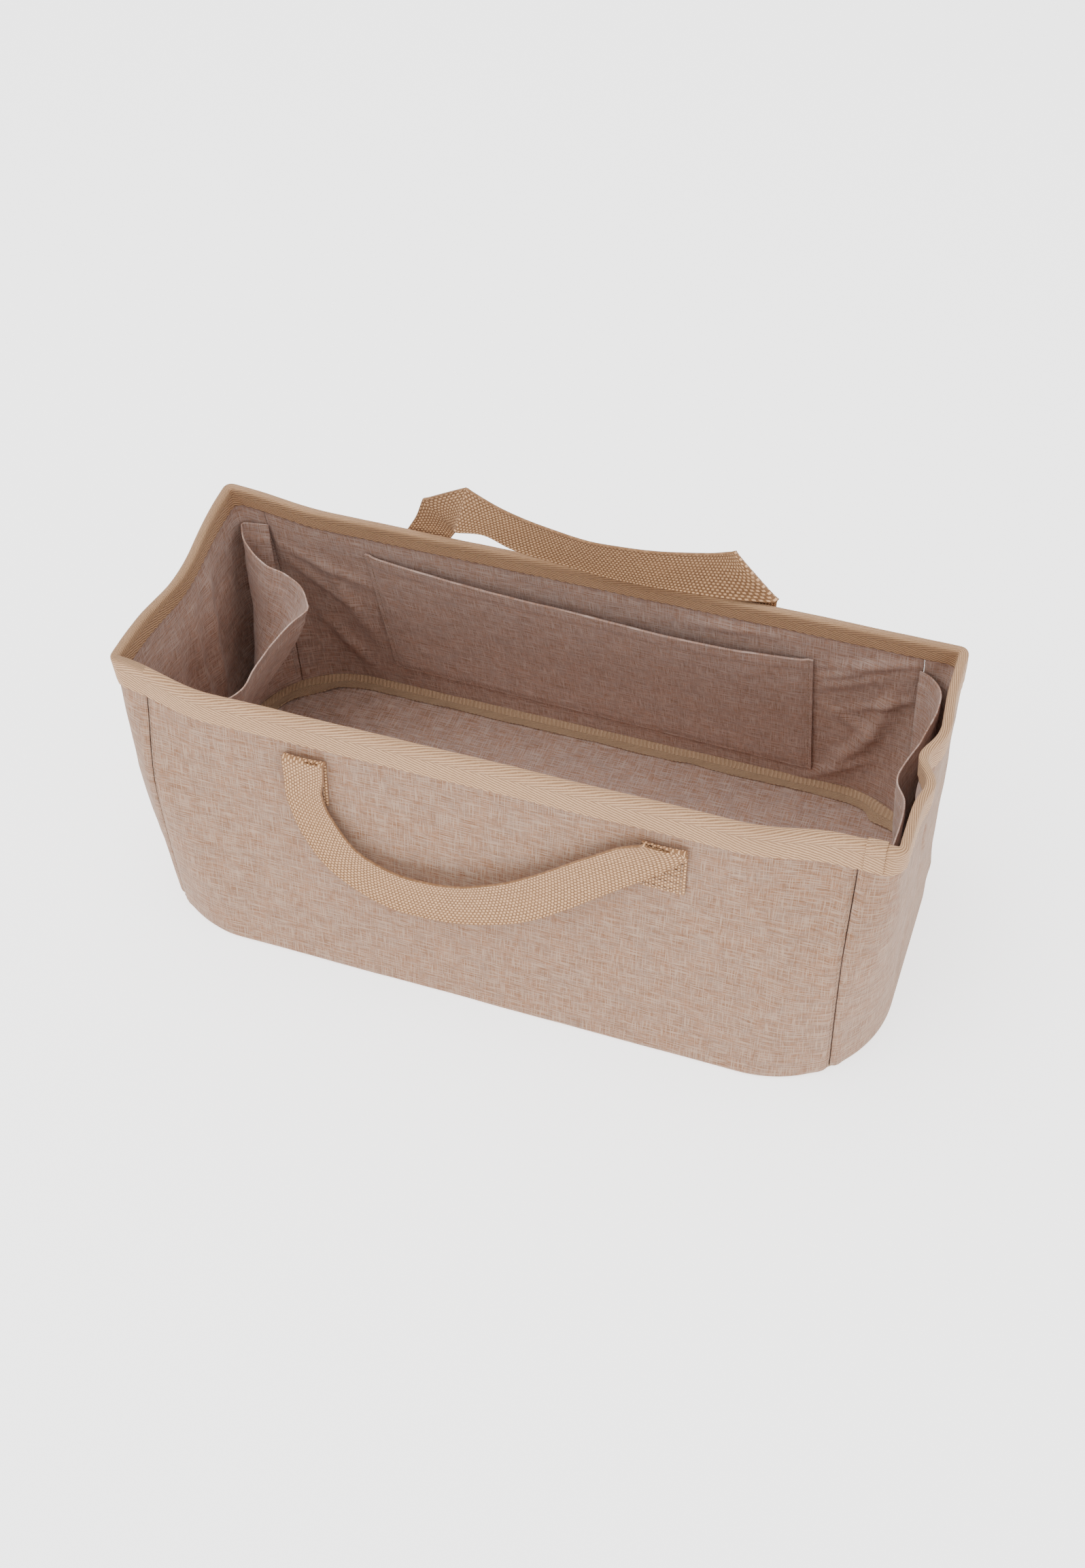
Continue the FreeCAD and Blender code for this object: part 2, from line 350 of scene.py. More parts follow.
@dataclass(frozen=True)
class Settling:
    """How the walls give way near the corners of the rim, where only the soft ends hold them.

    The front wall is pulled in at its left corner, and by a share of that at its right one. The back wall is
    pushed out at its left corner, and the whole left end stands a little higher.
    """

    pull: float = 11.0
    right_share: float = 0.85
    push: float = 5.0
    raised: float = 3.0
    left_from: float = 190.0
    left_width: float = 75.0
    right_from: float = 168.0
    right_width: float = 62.0
    low: float = 112.0
    rise: float = 92.0
    reach: float = 70.0

    def move(self, points: np.ndarray) -> np.ndarray:
        """Moves points with the wall that they belong to.

        Args:
            points: Points in millimetres, in any arrangement whose last axis is x, y and z.

        Returns:
            The moved points.
        """

        def ease(value: np.ndarray) -> np.ndarray:
            t = np.clip(value, 0.0, 1.0)
            return t * t * (3.0 - 2.0 * t)

        x, y, z = points[..., 0], points[..., 1], points[..., 2]
        left = ease((-x - self.left_from) / self.left_width)
        right = ease((x - self.right_from) / self.right_width)
        high = ease((z - self.low) / self.rise)
        moved = points.copy()
        moved[..., 1] += self.pull * np.maximum(left, right * self.right_share) * high * ease(-y / self.reach)
        moved[..., 1] += self.push * left * high * ease(y / self.reach)
        moved[..., 2] += self.raised * left * high
        return moved


SETTLING = Settling()


class ClothSheet:
    """A grid of points that becomes a closed, thin sheet of cloth."""

    def __init__(
        self, name: str, points: np.ndarray, flat: np.ndarray, thickness: float, wrap: bool = False
    ) -> None:
        """Takes the sheet's outer face.

        Args:
            name: The piece's name.
            points: Rows by columns of points, in millimetres.
            flat: The same grid on the flat pattern, in millimetres; one more column where the sheet wraps.
            thickness: The cloth's thickness.
            wrap: Whether the last column meets the first.
        """
        self.name = name
        self.points = points
        self.flat = flat
        self.thickness = thickness
        self.wrap = wrap

    def normals(self) -> np.ndarray:
        """Outward directions of the grid.

        Returns:
            A unit vector for each point.
        """
        if self.wrap:
            along = np.roll(self.points, -1, 1) - np.roll(self.points, 1, 1)
        else:
            along = np.gradient(self.points, axis=1)
        up = np.gradient(self.points, axis=0)
        normal = np.cross(along, up)
        length = np.linalg.norm(normal, axis=2, keepdims=True)
        return normal / np.maximum(length, 1e-9)

    def lift(self, amount: Callable[[float, float], float]) -> "ClothSheet":
        """Moves each point along its normal.

        Args:
            amount: Gives the distance from the place on the flat pattern.

        Returns:
            This sheet.
        """
        rows, columns = self.points.shape[:2]
        move = np.array([[amount(*self.flat[r, c]) for c in range(columns)] for r in range(rows)])
        self.points = self.points + self.normals() * move[:, :, None]
        return self

    def build(self) -> bpy.types.Object:
        """Makes the mesh.

        Returns:
            The new object.
        """
        rows, columns = self.points.shape[:2]
        self.points = SETTLING.move(self.points)
        inner = self.points - self.normals() * self.thickness
        verts = np.concatenate([self.points.reshape(-1, 3), inner.reshape(-1, 3)]) * MM
        size = rows * columns
        faces: List[Tuple[int, ...]] = []
        flats: List[Tuple[float, float]] = []
        spans = columns if self.wrap else columns - 1
        for r in range(rows - 1):
            for c in range(spans):
                d = (c + 1) % columns
                ring = [(r, c, c), (r, d, c + 1), (r + 1, d, c + 1), (r + 1, c, c)]
                faces.append(tuple(i * columns + j for i, j, _ in ring))
                flats.extend(tuple(self.flat[i, k]) for i, _, k in ring)
                faces.append(tuple(size + i * columns + j for i, j, _ in reversed(ring)))
                flats.extend(tuple(self.flat[i, k]) for i, _, k in reversed(ring))
        border = [((0, c), (0, c + 1), True) for c in range(spans)]
        border += [((rows - 1, c), (rows - 1, c + 1), False) for c in range(spans)]
        if not self.wrap:
            border += [((r, 0), (r + 1, 0), False) for r in range(rows - 1)]
            border += [((r, columns - 1), (r + 1, columns - 1), True) for r in range(rows - 1)]
        for (r0, c0), (r1, c1), flip in border:
            a, b = r0 * columns + c0 % columns, r1 * columns + c1 % columns
            quad = [(a, r0, c0), (b, r1, c1), (size + b, r1, c1), (size + a, r0, c0)]
            if flip:
                quad.reverse()
            faces.append(tuple(q[0] for q in quad))
            flats.extend(tuple(self.flat[i, k]) for _, i, k in quad)
        return mesh_object(self.name, verts, faces, flats)


def mesh_object(
    name: str,
    verts: Sequence[Sequence[float]],
    faces: Sequence[Sequence[int]],
    flats: Optional[Sequence[Tuple[float, float]]] = None,
) -> bpy.types.Object:
    """Makes an object from its vertices and faces.

    Args:
        name: The object's name.
        verts: Vertices in metres.
        faces: Vertex numbers of each face.
        flats: Place on the flat pattern for each face corner, in millimetres.

    Returns:
        The new object, shaded smooth.
    """
    mesh = bpy.data.meshes.new(name)
    mesh.from_pydata([tuple(v) for v in verts], [], list(faces))
    if flats is not None:
        layer = mesh.uv_layers.new(name=UV_NAME)
        layer.data.foreach_set("uv", np.array(flats, np.float32).ravel())
    mesh.polygons.foreach_set("use_smooth", [True] * len(mesh.polygons))
    mesh.update()
    obj = bpy.data.objects.new(name, mesh)
    bpy.context.scene.collection.objects.link(obj)
    return obj


class Value:
    """A shader socket that takes part in sums."""

    def __init__(self, shader: "Shader", socket: bpy.types.NodeSocket) -> None:
        """Wraps a socket.

        Args:
            shader: The shader that it belongs to.
            socket: The output socket.
        """
        self.shader = shader
        self.socket = socket

    def math(self, operation: str, *others: "Value | float", swap: bool = False) -> "Value":
        """Adds one Math node.

        Args:
            operation: The node's operation.
            others: The other inputs.
            swap: Whether this value comes second.

        Returns:
            The result.
        """
        inputs = [self, *others]
        if swap:
            inputs.reverse()
        return self.shader.node("ShaderNodeMath", {i: v for i, v in enumerate(inputs)}, operation=operation)

    def __add__(self, other: "Value | float") -> "Value":
        return self.math("ADD", other)

    def __radd__(self, other: float) -> "Value":
        return self.math("ADD", other, swap=True)

    def __sub__(self, other: "Value | float") -> "Value":
        return self.math("SUBTRACT", other)

    def __rsub__(self, other: float) -> "Value":
        return self.math("SUBTRACT", other, swap=True)

    def __mul__(self, other: "Value | float") -> "Value":
        return self.math("MULTIPLY", other)

    def __rmul__(self, other: float) -> "Value":
        return self.math("MULTIPLY", other, swap=True)

    def __truediv__(self, other: "Value | float") -> "Value":
        return self.math("DIVIDE", other)

    def __rtruediv__(self, other: float) -> "Value":
        return self.math("DIVIDE", other, swap=True)

    def between(self, low: float, high: float) -> "Value":
        """Eases from 0 at the low value to 1 at the high one.

        Args:
            low: Where it starts.
            high: Where it ends.

        Returns:
            The share.
        """
        inputs = {0: self, 1: low, 2: high, 3: 0.0, 4: 1.0}
        return self.shader.node("ShaderNodeMapRange", inputs, interpolation_type="SMOOTHSTEP")

    def wave(self, period: float) -> "Value":
        """A cosine of this value.

        Args:
            period: Its period.

        Returns:
            From 0 to 1.
        """
        return (self * (2 * math.pi / period)).math("COSINE") * 0.5 + 0.5


class Shader:
    """Builds one material from sums of sockets."""

    def __init__(self, name: str) -> None:
        """Starts an empty material.

        Args:
            name: The material's name.
        """
        self.material = bpy.data.materials.new(name)
        self.material.use_nodes = True
        self.tree = self.material.node_tree
        self.tree.nodes.clear()
        self.output = self.tree.nodes.new("ShaderNodeOutputMaterial")
        self.surface = self.tree.nodes.new("ShaderNodeBsdfPrincipled")
        self.tree.links.new(self.surface.outputs[0], self.output.inputs["Surface"])

    def feed(self, socket: bpy.types.NodeSocket, value: object) -> None:
        """Connects or sets one input.

        Args:
            socket: The input.
            value: A Value to connect, or a constant.
        """
        if isinstance(value, Value):
            self.tree.links.new(value.socket, socket)
        else:
            socket.default_value = value

    def node(self, kind: str, inputs: dict, output: int = 0, **settings: object) -> Value:
        """Adds any node.

        Args:
            kind: The node's type.
            inputs: Values for its inputs, by name or number.
            output: Which output to return.
            settings: Attributes of the node.

        Returns:
            The chosen output.
        """
        made = self.tree.nodes.new(kind)
        for key, value in settings.items():
            setattr(made, key, value)
        for key, value in inputs.items():
            self.feed(made.inputs[key], value)
        return Value(self, made.outputs[output])

    def flat(self) -> Tuple[Value, Value]:
        """Place on the cloth's flat pattern.

        Returns:
            Along and across, in millimetres.
        """
        place = self.node("ShaderNodeUVMap", {}, uv_map=UV_NAME)
        return (
            self.node("ShaderNodeSeparateXYZ", {0: place}, output=0),
            self.node("ShaderNodeSeparateXYZ", {0: place}, output=1),
        )

    def space(self) -> Tuple[Value, Value, Value]:
        """Place in the object.

        Returns:
            X, Y and Z in millimetres.
        """
        place = self.node("ShaderNodeTexCoord", {}, output=3)
        return tuple(self.node("ShaderNodeSeparateXYZ", {0: place}, output=i) * 1000.0 for i in range(3))

    def noise(self, x: "Value | float", y: "Value | float", z: "Value | float", detail: float = 2.0) -> Value:
        """Smooth noise.

        Args:
            x: First place, in the noise's own steps.
            y: Second place.
            z: Third place.
            detail: How many finer layers are added.

        Returns:
            About 0 to 1.
        """
        place = self.node("ShaderNodeCombineXYZ", {0: x, 1: y, 2: z})
        return self.node("ShaderNodeTexNoise", {"Vector": place, "Scale": 1.0, "Detail": detail})

    def mix(self, share: "Value | float", a: object, b: object) -> Value:
        """Mixes two colours.

        Args:
            share: How much of the second.
            a: The first colour.
            b: The second colour.

        Returns:
            The colour.
        """
        inputs = {0: share, 6: a, 7: b}
        return self.node("ShaderNodeMix", inputs, output=2, data_type="RGBA", clamp_factor=True)

    def finish(
        self, color: Value, height: Optional[Value], depth: float, rough: float, sheen: float
    ) -> bpy.types.Material:
        """Connects the surface.

        Args:
            color: The base colour.
            height: Relief from 0 to 1, if any.
            depth: How deep the relief is, in millimetres.
            rough: Roughness.
            sheen: Weight of the soft sheen of loose fibres.

        Returns:
            The material.
        """
        self.feed(self.surface.inputs["Base Color"], color)
        self.feed(self.surface.inputs["Roughness"], rough)
        self.surface.inputs["Specular IOR Level"].default_value = FIBRE_SPECULAR
        self.surface.inputs["Sheen Weight"].default_value = sheen
        self.surface.inputs["Sheen Roughness"].default_value = FIBRE_SHEEN_ROUGHNESS
        if height is not None:
            bump = self.node("ShaderNodeBump", {"Strength": 1.0, "Distance": depth * MM, "Height": height})
            self.feed(self.surface.inputs["Normal"], bump)
        return self.material


Color = Tuple[float, float, float, float]


def tint(color: Color, share: float) -> Color:
    """Darkens or lightens a colour.

    Args:
        color: The colour.
        share: What its channels are multiplied by.

    Returns:
        The new colour.
    """
    return (color[0] * share, color[1] * share, color[2] * share, 1.0)


@dataclass(frozen=True)
class Slubs:
    """Long thick places of the yarns that run one way, with the threshold where they start to show."""

    upright: bool
    length: float
    width: float
    seed: float
    start: float
    full: float

    def at(self, shader: Shader, u: Value, v: Value) -> Value:
        """How much of a slub shows.

        Args:
            shader: The cloth's shader.
            u: Place along the cloth.
            v: Place up the cloth.

        Returns:
            From 0 to 1.
        """
        size_u, size_v = (self.width, self.length) if self.upright else (self.length, self.width)
        return shader.noise(u / size_u, v / size_v, self.seed, 1.0).between(self.start, self.full)


PALE_WEFT = Slubs(False, 16.0, 0.8, 21.0, 0.50, 0.66)
PALE_WARP = Slubs(True, 14.0, 0.8, 33.0, 0.51, 0.68)
DEEP_WEFT = Slubs(False, 18.0, 0.9, 45.0, 0.51, 0.66)
DEEP_WARP = Slubs(True, 15.0, 0.9, 57.0, 0.53, 0.68)


@dataclass(frozen=True)
class MelangeCloth:
    """Plain-woven cloth of mixed grey and peach yarns with uneven thick threads."""

    name: str
    peach: Color = (0.290, 0.138, 0.070, 1.0)
    grey: Color = (0.235, 0.150, 0.108, 1.0)
    pale: Color = (0.405, 0.275, 0.195, 1.0)
    # painted shade: the lining copies use Shade.INSIDE, which darkens every colour of this cloth
    shade: Shade = Shade.OUTSIDE
    thread: float = 0.45
    thread_run: float = 7.0
    deep_share: float = 0.70
    relief_depth: float = 0.10

    def material(self) -> bpy.types.Material:
        """Makes the material.

        Returns:
            The material.
        """
        s = Shader(self.name)
        u, v = s.flat()
        # painted shade: each colour below is multiplied by this factor for how much light reaches the cloth
        light = self.shade.value
        pale = tint(self.pale, light)
        deep = tint(self.peach, light * self.deep_share)

        yarn_u = s.noise(u / self.thread_run, v / self.thread, 3.0, 1.0)
        yarn_v = s.noise(u / self.thread, v / self.thread_run, 9.0, 1.0)
        turn = math.pi / self.thread
        over = (u * turn).math("SINE") * (v * turn).math("SINE") * 0.5 + 0.5
        yarn = yarn_u * over + yarn_v * (1.0 - over)

        blotch = s.noise(u / 14.0, v / 11.0, 1.5, 4.0) * 0.4 + s.noise(u / 3.2, v / 2.0, 6.0, 2.0) * 0.6
        body = s.mix(blotch.between(0.34, 0.66), tint(self.peach, light), tint(self.grey, light))
        body = s.mix(yarn.between(0.40, 0.66) * 0.50, body, pale)

        along, upright = PALE_WEFT.at(s, u, v), PALE_WARP.at(s, u, v)
        body = s.mix(DEEP_WEFT.at(s, u, v) * 0.85, body, deep)
        body = s.mix(DEEP_WARP.at(s, u, v) * 0.70, body, deep)
        body = s.mix(along * 0.80, body, pale)
        body = s.mix(upright * 0.70, body, pale)
        relief = over * 0.5 + along * 0.5 + upright * 0.4 + yarn * 0.3
        return s.finish(body, relief, self.relief_depth, 0.92, 0.12)


@dataclass(frozen=True)
class HerringboneTape:
    """Twill tape whose ribs run one way below and the other way above."""

    name: str
    # light and dark: painted highlight on the rib crowns and painted shade in the grooves between them
    light: Color = (0.600, 0.365, 0.205, 1.0)
    dark: Color = (0.290, 0.160, 0.082, 1.0)
    rib: float = 2.0
    slope: float = 0.30
    turn_at: float = 13.0
    second_turn_at: float = 31.0
    turn_width: float = 0.2
    yarn: float = 1.05

    def turned(self, v: Value, place: float) -> Value:
        """Steps from 0 to 1 where the ribs change their way.

        Args:
            v: Place across the tape.
            place: Where the step is.

        Returns:
            The step.
        """
        return v.between(place - self.turn_width / 2, place + self.turn_width / 2)

    def material(self) -> bpy.types.Material:
        """Makes the material.

        Returns:
            The material.
        """
        s = Shader(self.name)
        u, v = s.flat()
        way = 1.0 - (self.turned(v, self.turn_at) - self.turned(v, self.second_turn_at)) * 2.0
        wander = s.noise(u / 15.0, v / 4.0, 2.0, 1.0) * 0.8
        ribs = (v + way * u * self.slope + wander).wave(self.rib)
        yarn = (u * 0.95 - way * v * 0.31).wave(self.yarn)
        relief = ribs.between(0.08, 0.75) * (0.72 + yarn * 0.28)
        fleck = s.noise(u / 1.4, v / 1.1, 5.0, 2.0)
        # Painted shade and highlight: the colour turns dark in the grooves between the ribs and light on
        # their crowns, following the relief.
        body = s.mix(relief.between(0.10, 0.85), self.dark, self.light)
        body = s.mix(fleck.between(0.45, 0.75) * 0.30, body, tint(self.light, 1.18))
        broad = s.noise(u / 40.0, v / 20.0, 8.0, 2.0).between(0.35, 0.7)
        body = s.mix(broad * 0.20, body, tint(self.dark, 1.25))
        return s.finish(body, relief, 0.42, 0.80, 0.10)


@dataclass(frozen=True)
class Webbing:
    """Plain-woven webbing with fat yarns and a beaded edge."""

    name: str
    # light and dark: painted highlight on the raised yarn floats and painted shade in the channels between
    # them
    light: Color = (0.760, 0.450, 0.240, 1.0)
    dark: Color = (0.230, 0.118, 0.055, 1.0)
    along: float = 2.6
    across: float = 2.0

    def material(self) -> bpy.types.Material:
        """Makes the material.

        Returns:
            The material.
        """
        s = Shader(self.name)
        u, v = s.flat()
        row = (v / self.across).math("FLOOR")
        odd = row.math("MODULO", 2.0).math("ABSOLUTE")
        warp = (u + odd * (self.along / 2)).wave(self.along)
        channel = 1.0 - v.wave(self.across)
        bump = warp.between(0.10, 0.85) * channel.between(0.05, 0.6)
        uneven = s.noise(u / 2.6, v / 1.9, 4.0, 2.0)
        # Painted shade and highlight: dark in the channels between the yarns and light on their raised
        # floats, following the relief.
        body = s.mix(bump.between(0.05, 0.65), self.dark, self.light)
        body = s.mix(uneven.between(0.42, 0.75) * 0.18, body, tint(self.light, 1.2))
        soil = s.noise(u / 30.0, v / 12.0, 7.0, 2.0).between(0.4, 0.75)
        body = s.mix(soil * 0.16, body, tint(self.dark, 1.6))
        return s.finish(body, bump + uneven * 0.2, 0.45, 0.78, 0.10)


@dataclass(frozen=True)
class Thread:
    """Spun sewing thread."""

    name: str
    color: Color = (0.400, 0.265, 0.185, 1.0)

    def material(self) -> bpy.types.Material:
        """Makes the material.

        Returns:
            The material.
        """
        s = Shader(self.name)
        x, y, z = s.space()
        twist = (x + y * 0.7 + z * 0.9).wave(0.35)
        uneven = s.noise(x / 1.3, y / 1.3, z / 1.3, 2.0)
        # Partly painted shade and highlight: darker in the grooves of the twist and lighter on its ridges,
        # mixed with random unevenness of the yarn.
        body = s.mix(twist * 0.5 + uneven * 0.4, tint(self.color, 0.7), tint(self.color, 1.25))
        return s.finish(body, twist, 0.08, 0.70, 0.05)


@dataclass(frozen=True)
class FibreBoard:
    """Pressed board of brown fibres."""

    name: str
    color: Color = (0.360, 0.270, 0.180, 1.0)

    def material(self) -> bpy.types.Material:
        """Makes the material.

        Returns:
            The material.
        """
        s = Shader(self.name)
        x, y, z = s.space()
        fibre = s.noise(x / 6.0, y / 0.7, z / 0.7, 4.0) * 0.6 + s.noise(x / 0.8, y / 5.0, z / 5.0, 4.0) * 0.4
        body = s.mix(fibre.between(0.3, 0.7), tint(self.color, 0.75), tint(self.color, 1.2))
        return s.finish(body, fibre, 0.15, 0.9, 0.0)


class Finishes:
    """The materials of the bin, each made once."""

    def __init__(self) -> None:
        """Makes them all."""
        self.shell = MelangeCloth("shell_melange").material()
        # The lining and pockets are lit and shaded copies of the shell's cloth: painted shade darkens them by
        # Shade.INSIDE, and their peach, grey and pale are retuned for the shade and bounced light inside the
        # bin.
        inside = {
            "shade": Shade.INSIDE,
            "peach": (0.415, 0.228, 0.155, 1.0),
            "grey": (0.340, 0.238, 0.205, 1.0),
        }
        self.lining = MelangeCloth("lining_melange", pale=(0.545, 0.400, 0.340, 1.0), **inside).material()
        self.pocket = MelangeCloth("pocket_melange", pale=(0.530, 0.390, 0.335, 1.0), **inside).material()
        self.tape = HerringboneTape("rim_tape").material()
        self.floor_tape = HerringboneTape(
            "floor_tape",
            light=(0.52, 0.35, 0.22, 1.0),
            dark=(0.36, 0.23, 0.14, 1.0),
            rib=1.6,
            slope=0.5,
            turn_at=6.0,
            second_turn_at=90.0,
        ).material()
        self.webbing = Webbing("handle_webbing").material()
        self.thread = Thread("sewing_thread").material()
        self.board = FibreBoard("fibre_board").material()


@dataclass
class StitchRows:
    """Rows of stitches laid along lines by a node tree."""

    name: str
    pitch: float = 4.0
    length: float = 3.0
    thread: float = 0.55
    unevenness: float = 0.08
    seed: int = 4
    lines: List[List[Point]] = field(default_factory=list)

    def add(self, line: Sequence[Point]) -> None:
        """Adds one row.

        Args:
            line: Points that the row follows, in millimetres.
        """
        self.lines.append([tuple(p) for p in line])

    def tree(self) -> bpy.types.NodeTree:
        """Builds the node tree that lays the stitches.

        Returns:
            The tree.
        """
        tree = bpy.data.node_groups.new(self.name + "_layout", "GeometryNodeTree")
        sockets = [("Geometry", "Geometry"), ("Pitch", "Float"), ("Length", "Float"), ("Thread", "Float")]
        sockets += [("Unevenness", "Float"), ("Seed", "Int"), ("Material", "Material")]
        for label, kind in sockets:
            tree.interface.new_socket(label, in_out="INPUT", socket_type="NodeSocket" + kind)
        tree.interface.new_socket("Geometry", in_out="OUTPUT", socket_type="NodeSocketGeometry")
        add, link = tree.nodes.new, tree.links.new
        source, result = add("NodeGroupInput"), add("NodeGroupOutput")
        line, spaced = add("GeometryNodeMeshToCurve"), add("GeometryNodeResampleCurve")
        link(source.outputs["Geometry"], line.inputs["Mesh"])
        link(line.outputs["Curve"], spaced.inputs["Curve"])
        spaced.mode = "LENGTH"
        link(source.outputs["Pitch"], spaced.inputs["Length"])
        bead = add("GeometryNodeMeshUVSphere")
        bead.inputs["Segments"].default_value = 8
        bead.inputs["Rings"].default_value = 6
        bead.inputs["Radius"].default_value = 0.5
        shape = add("ShaderNodeCombineXYZ")
        link(source.outputs["Length"], shape.inputs["X"])
        link(source.outputs["Thread"], shape.inputs["Y"])
        link(source.outputs["Thread"], shape.inputs["Z"])
        stitch = add("GeometryNodeTransform")
        link(bead.outputs["Mesh"], stitch.inputs["Geometry"])
        link(shape.outputs["Vector"], stitch.inputs["Scale"])
        tangent, turn = add("GeometryNodeInputTangent"), add("FunctionNodeAlignRotationToVector")
        turn.axis = "X"
        link(tangent.outputs["Tangent"], turn.inputs["Vector"])
        uneven = add("FunctionNodeRandomValue")
        uneven.data_type = "FLOAT"
        low, high = add("ShaderNodeMath"), add("ShaderNodeMath")
        low.operation, high.operation = "SUBTRACT", "ADD"
        for node in (low, high):
            node.inputs[0].default_value = 1.0
            link(source.outputs["Unevenness"], node.inputs[1])
        link(low.outputs[0], uneven.inputs[2])
        link(high.outputs[0], uneven.inputs[3])
        link(source.outputs["Seed"], uneven.inputs["Seed"])
        place = add("GeometryNodeInstanceOnPoints")
        link(spaced.outputs["Curve"], place.inputs["Points"])
        link(stitch.outputs["Geometry"], place.inputs["Instance"])
        link(turn.outputs["Rotation"], place.inputs["Rotation"])
        link(uneven.outputs[1], place.inputs["Scale"])
        real, paint = add("GeometryNodeRealizeInstances"), add("GeometryNodeSetMaterial")
        link(place.outputs["Instances"], real.inputs["Geometry"])
        link(real.outputs["Geometry"], paint.inputs["Geometry"])
        link(source.outputs["Material"], paint.inputs["Material"])
        link(paint.outputs["Geometry"], result.inputs["Geometry"])
        return tree

    def build(self, material: bpy.types.Material) -> bpy.types.Object:
        """Lays the stitches and makes them a plain mesh.

        Args:
            material: The thread's material.

        Returns:
            The new object.
        """
        verts: List[Point] = []
        edges: List[Tuple[int, int]] = []
        for line in self.lines:
            edges += [(len(verts) + i, len(verts) + i + 1) for i in range(len(line) - 1)]
            verts += [tuple(p) for p in SETTLING.move(np.array(line, float)) * MM]
        mesh = bpy.data.meshes.new(self.name + "_lines")
        mesh.from_pydata(verts, edges, [])
        holder = bpy.data.objects.new(self.name + "_lines", mesh)
        bpy.context.scene.collection.objects.link(holder)
        modifier = holder.modifiers.new("stitches", "NODES")
        modifier.node_group = self.tree()
        wanted = {
            "Pitch": self.pitch * MM,
            "Length": self.length * MM,
            "Thread": self.thread * MM,
            "Unevenness": self.unevenness,
            "Seed": self.seed,
            "Material": material,
        }
        for item in modifier.node_group.interface.items_tree:
            if item.item_type == "SOCKET" and item.in_out == "INPUT" and item.name in wanted:
                modifier[item.identifier] = wanted[item.name]
        holder.update_tag()
        bpy.context.view_layer.update()
        depsgraph = bpy.context.evaluated_depsgraph_get()
        made = bpy.data.meshes.new_from_object(holder.evaluated_get(depsgraph), depsgraph=depsgraph)
        made.name = self.name
        if not made.materials:
            made.materials.append(material)
        made.polygons.foreach_set("use_smooth", [True] * len(made.polygons))
        obj = bpy.data.objects.new(self.name, made)
        bpy.context.scene.collection.objects.link(obj)
        holder.modifiers.clear()
        bpy.data.objects.remove(holder)
        return obj


def dress(
    obj: bpy.types.Object, material: bpy.types.Material, slot: str, body: str, *nodes: str
) -> bpy.types.Object:
    """Gives a piece its material and its body, and hides the nodes that it replaces.

    Args:
        obj: The piece.
        material: Its material.
        slot: Not used.
        body: The body it rides on.
        nodes: The nodes it replaces.

    Returns:
        The piece.
    """
    obj.data.materials.clear()
    obj.data.materials.append(material)
    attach(obj, body)
    if nodes:
        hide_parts(*nodes)
    log.info("%s: %d vertices", obj.name, len(obj.data.vertices))
    return obj


def rumple(u: float, v: float, seed: float, size: float = 45.0) -> float:
    """Slow unevenness of a cloth.

    Args:
        u: Place along it.
        v: Place up it.
        seed: Tells one cloth from another.
        size: How far apart the high places are.

    Returns:
        About -1 to 1.
    """
    broad = noise.noise(Vector((u / size, v / size, seed)))
    return broad + 0.4 * noise.noise(Vector((u * 2.3 / size, v * 2.3 / size, seed)))


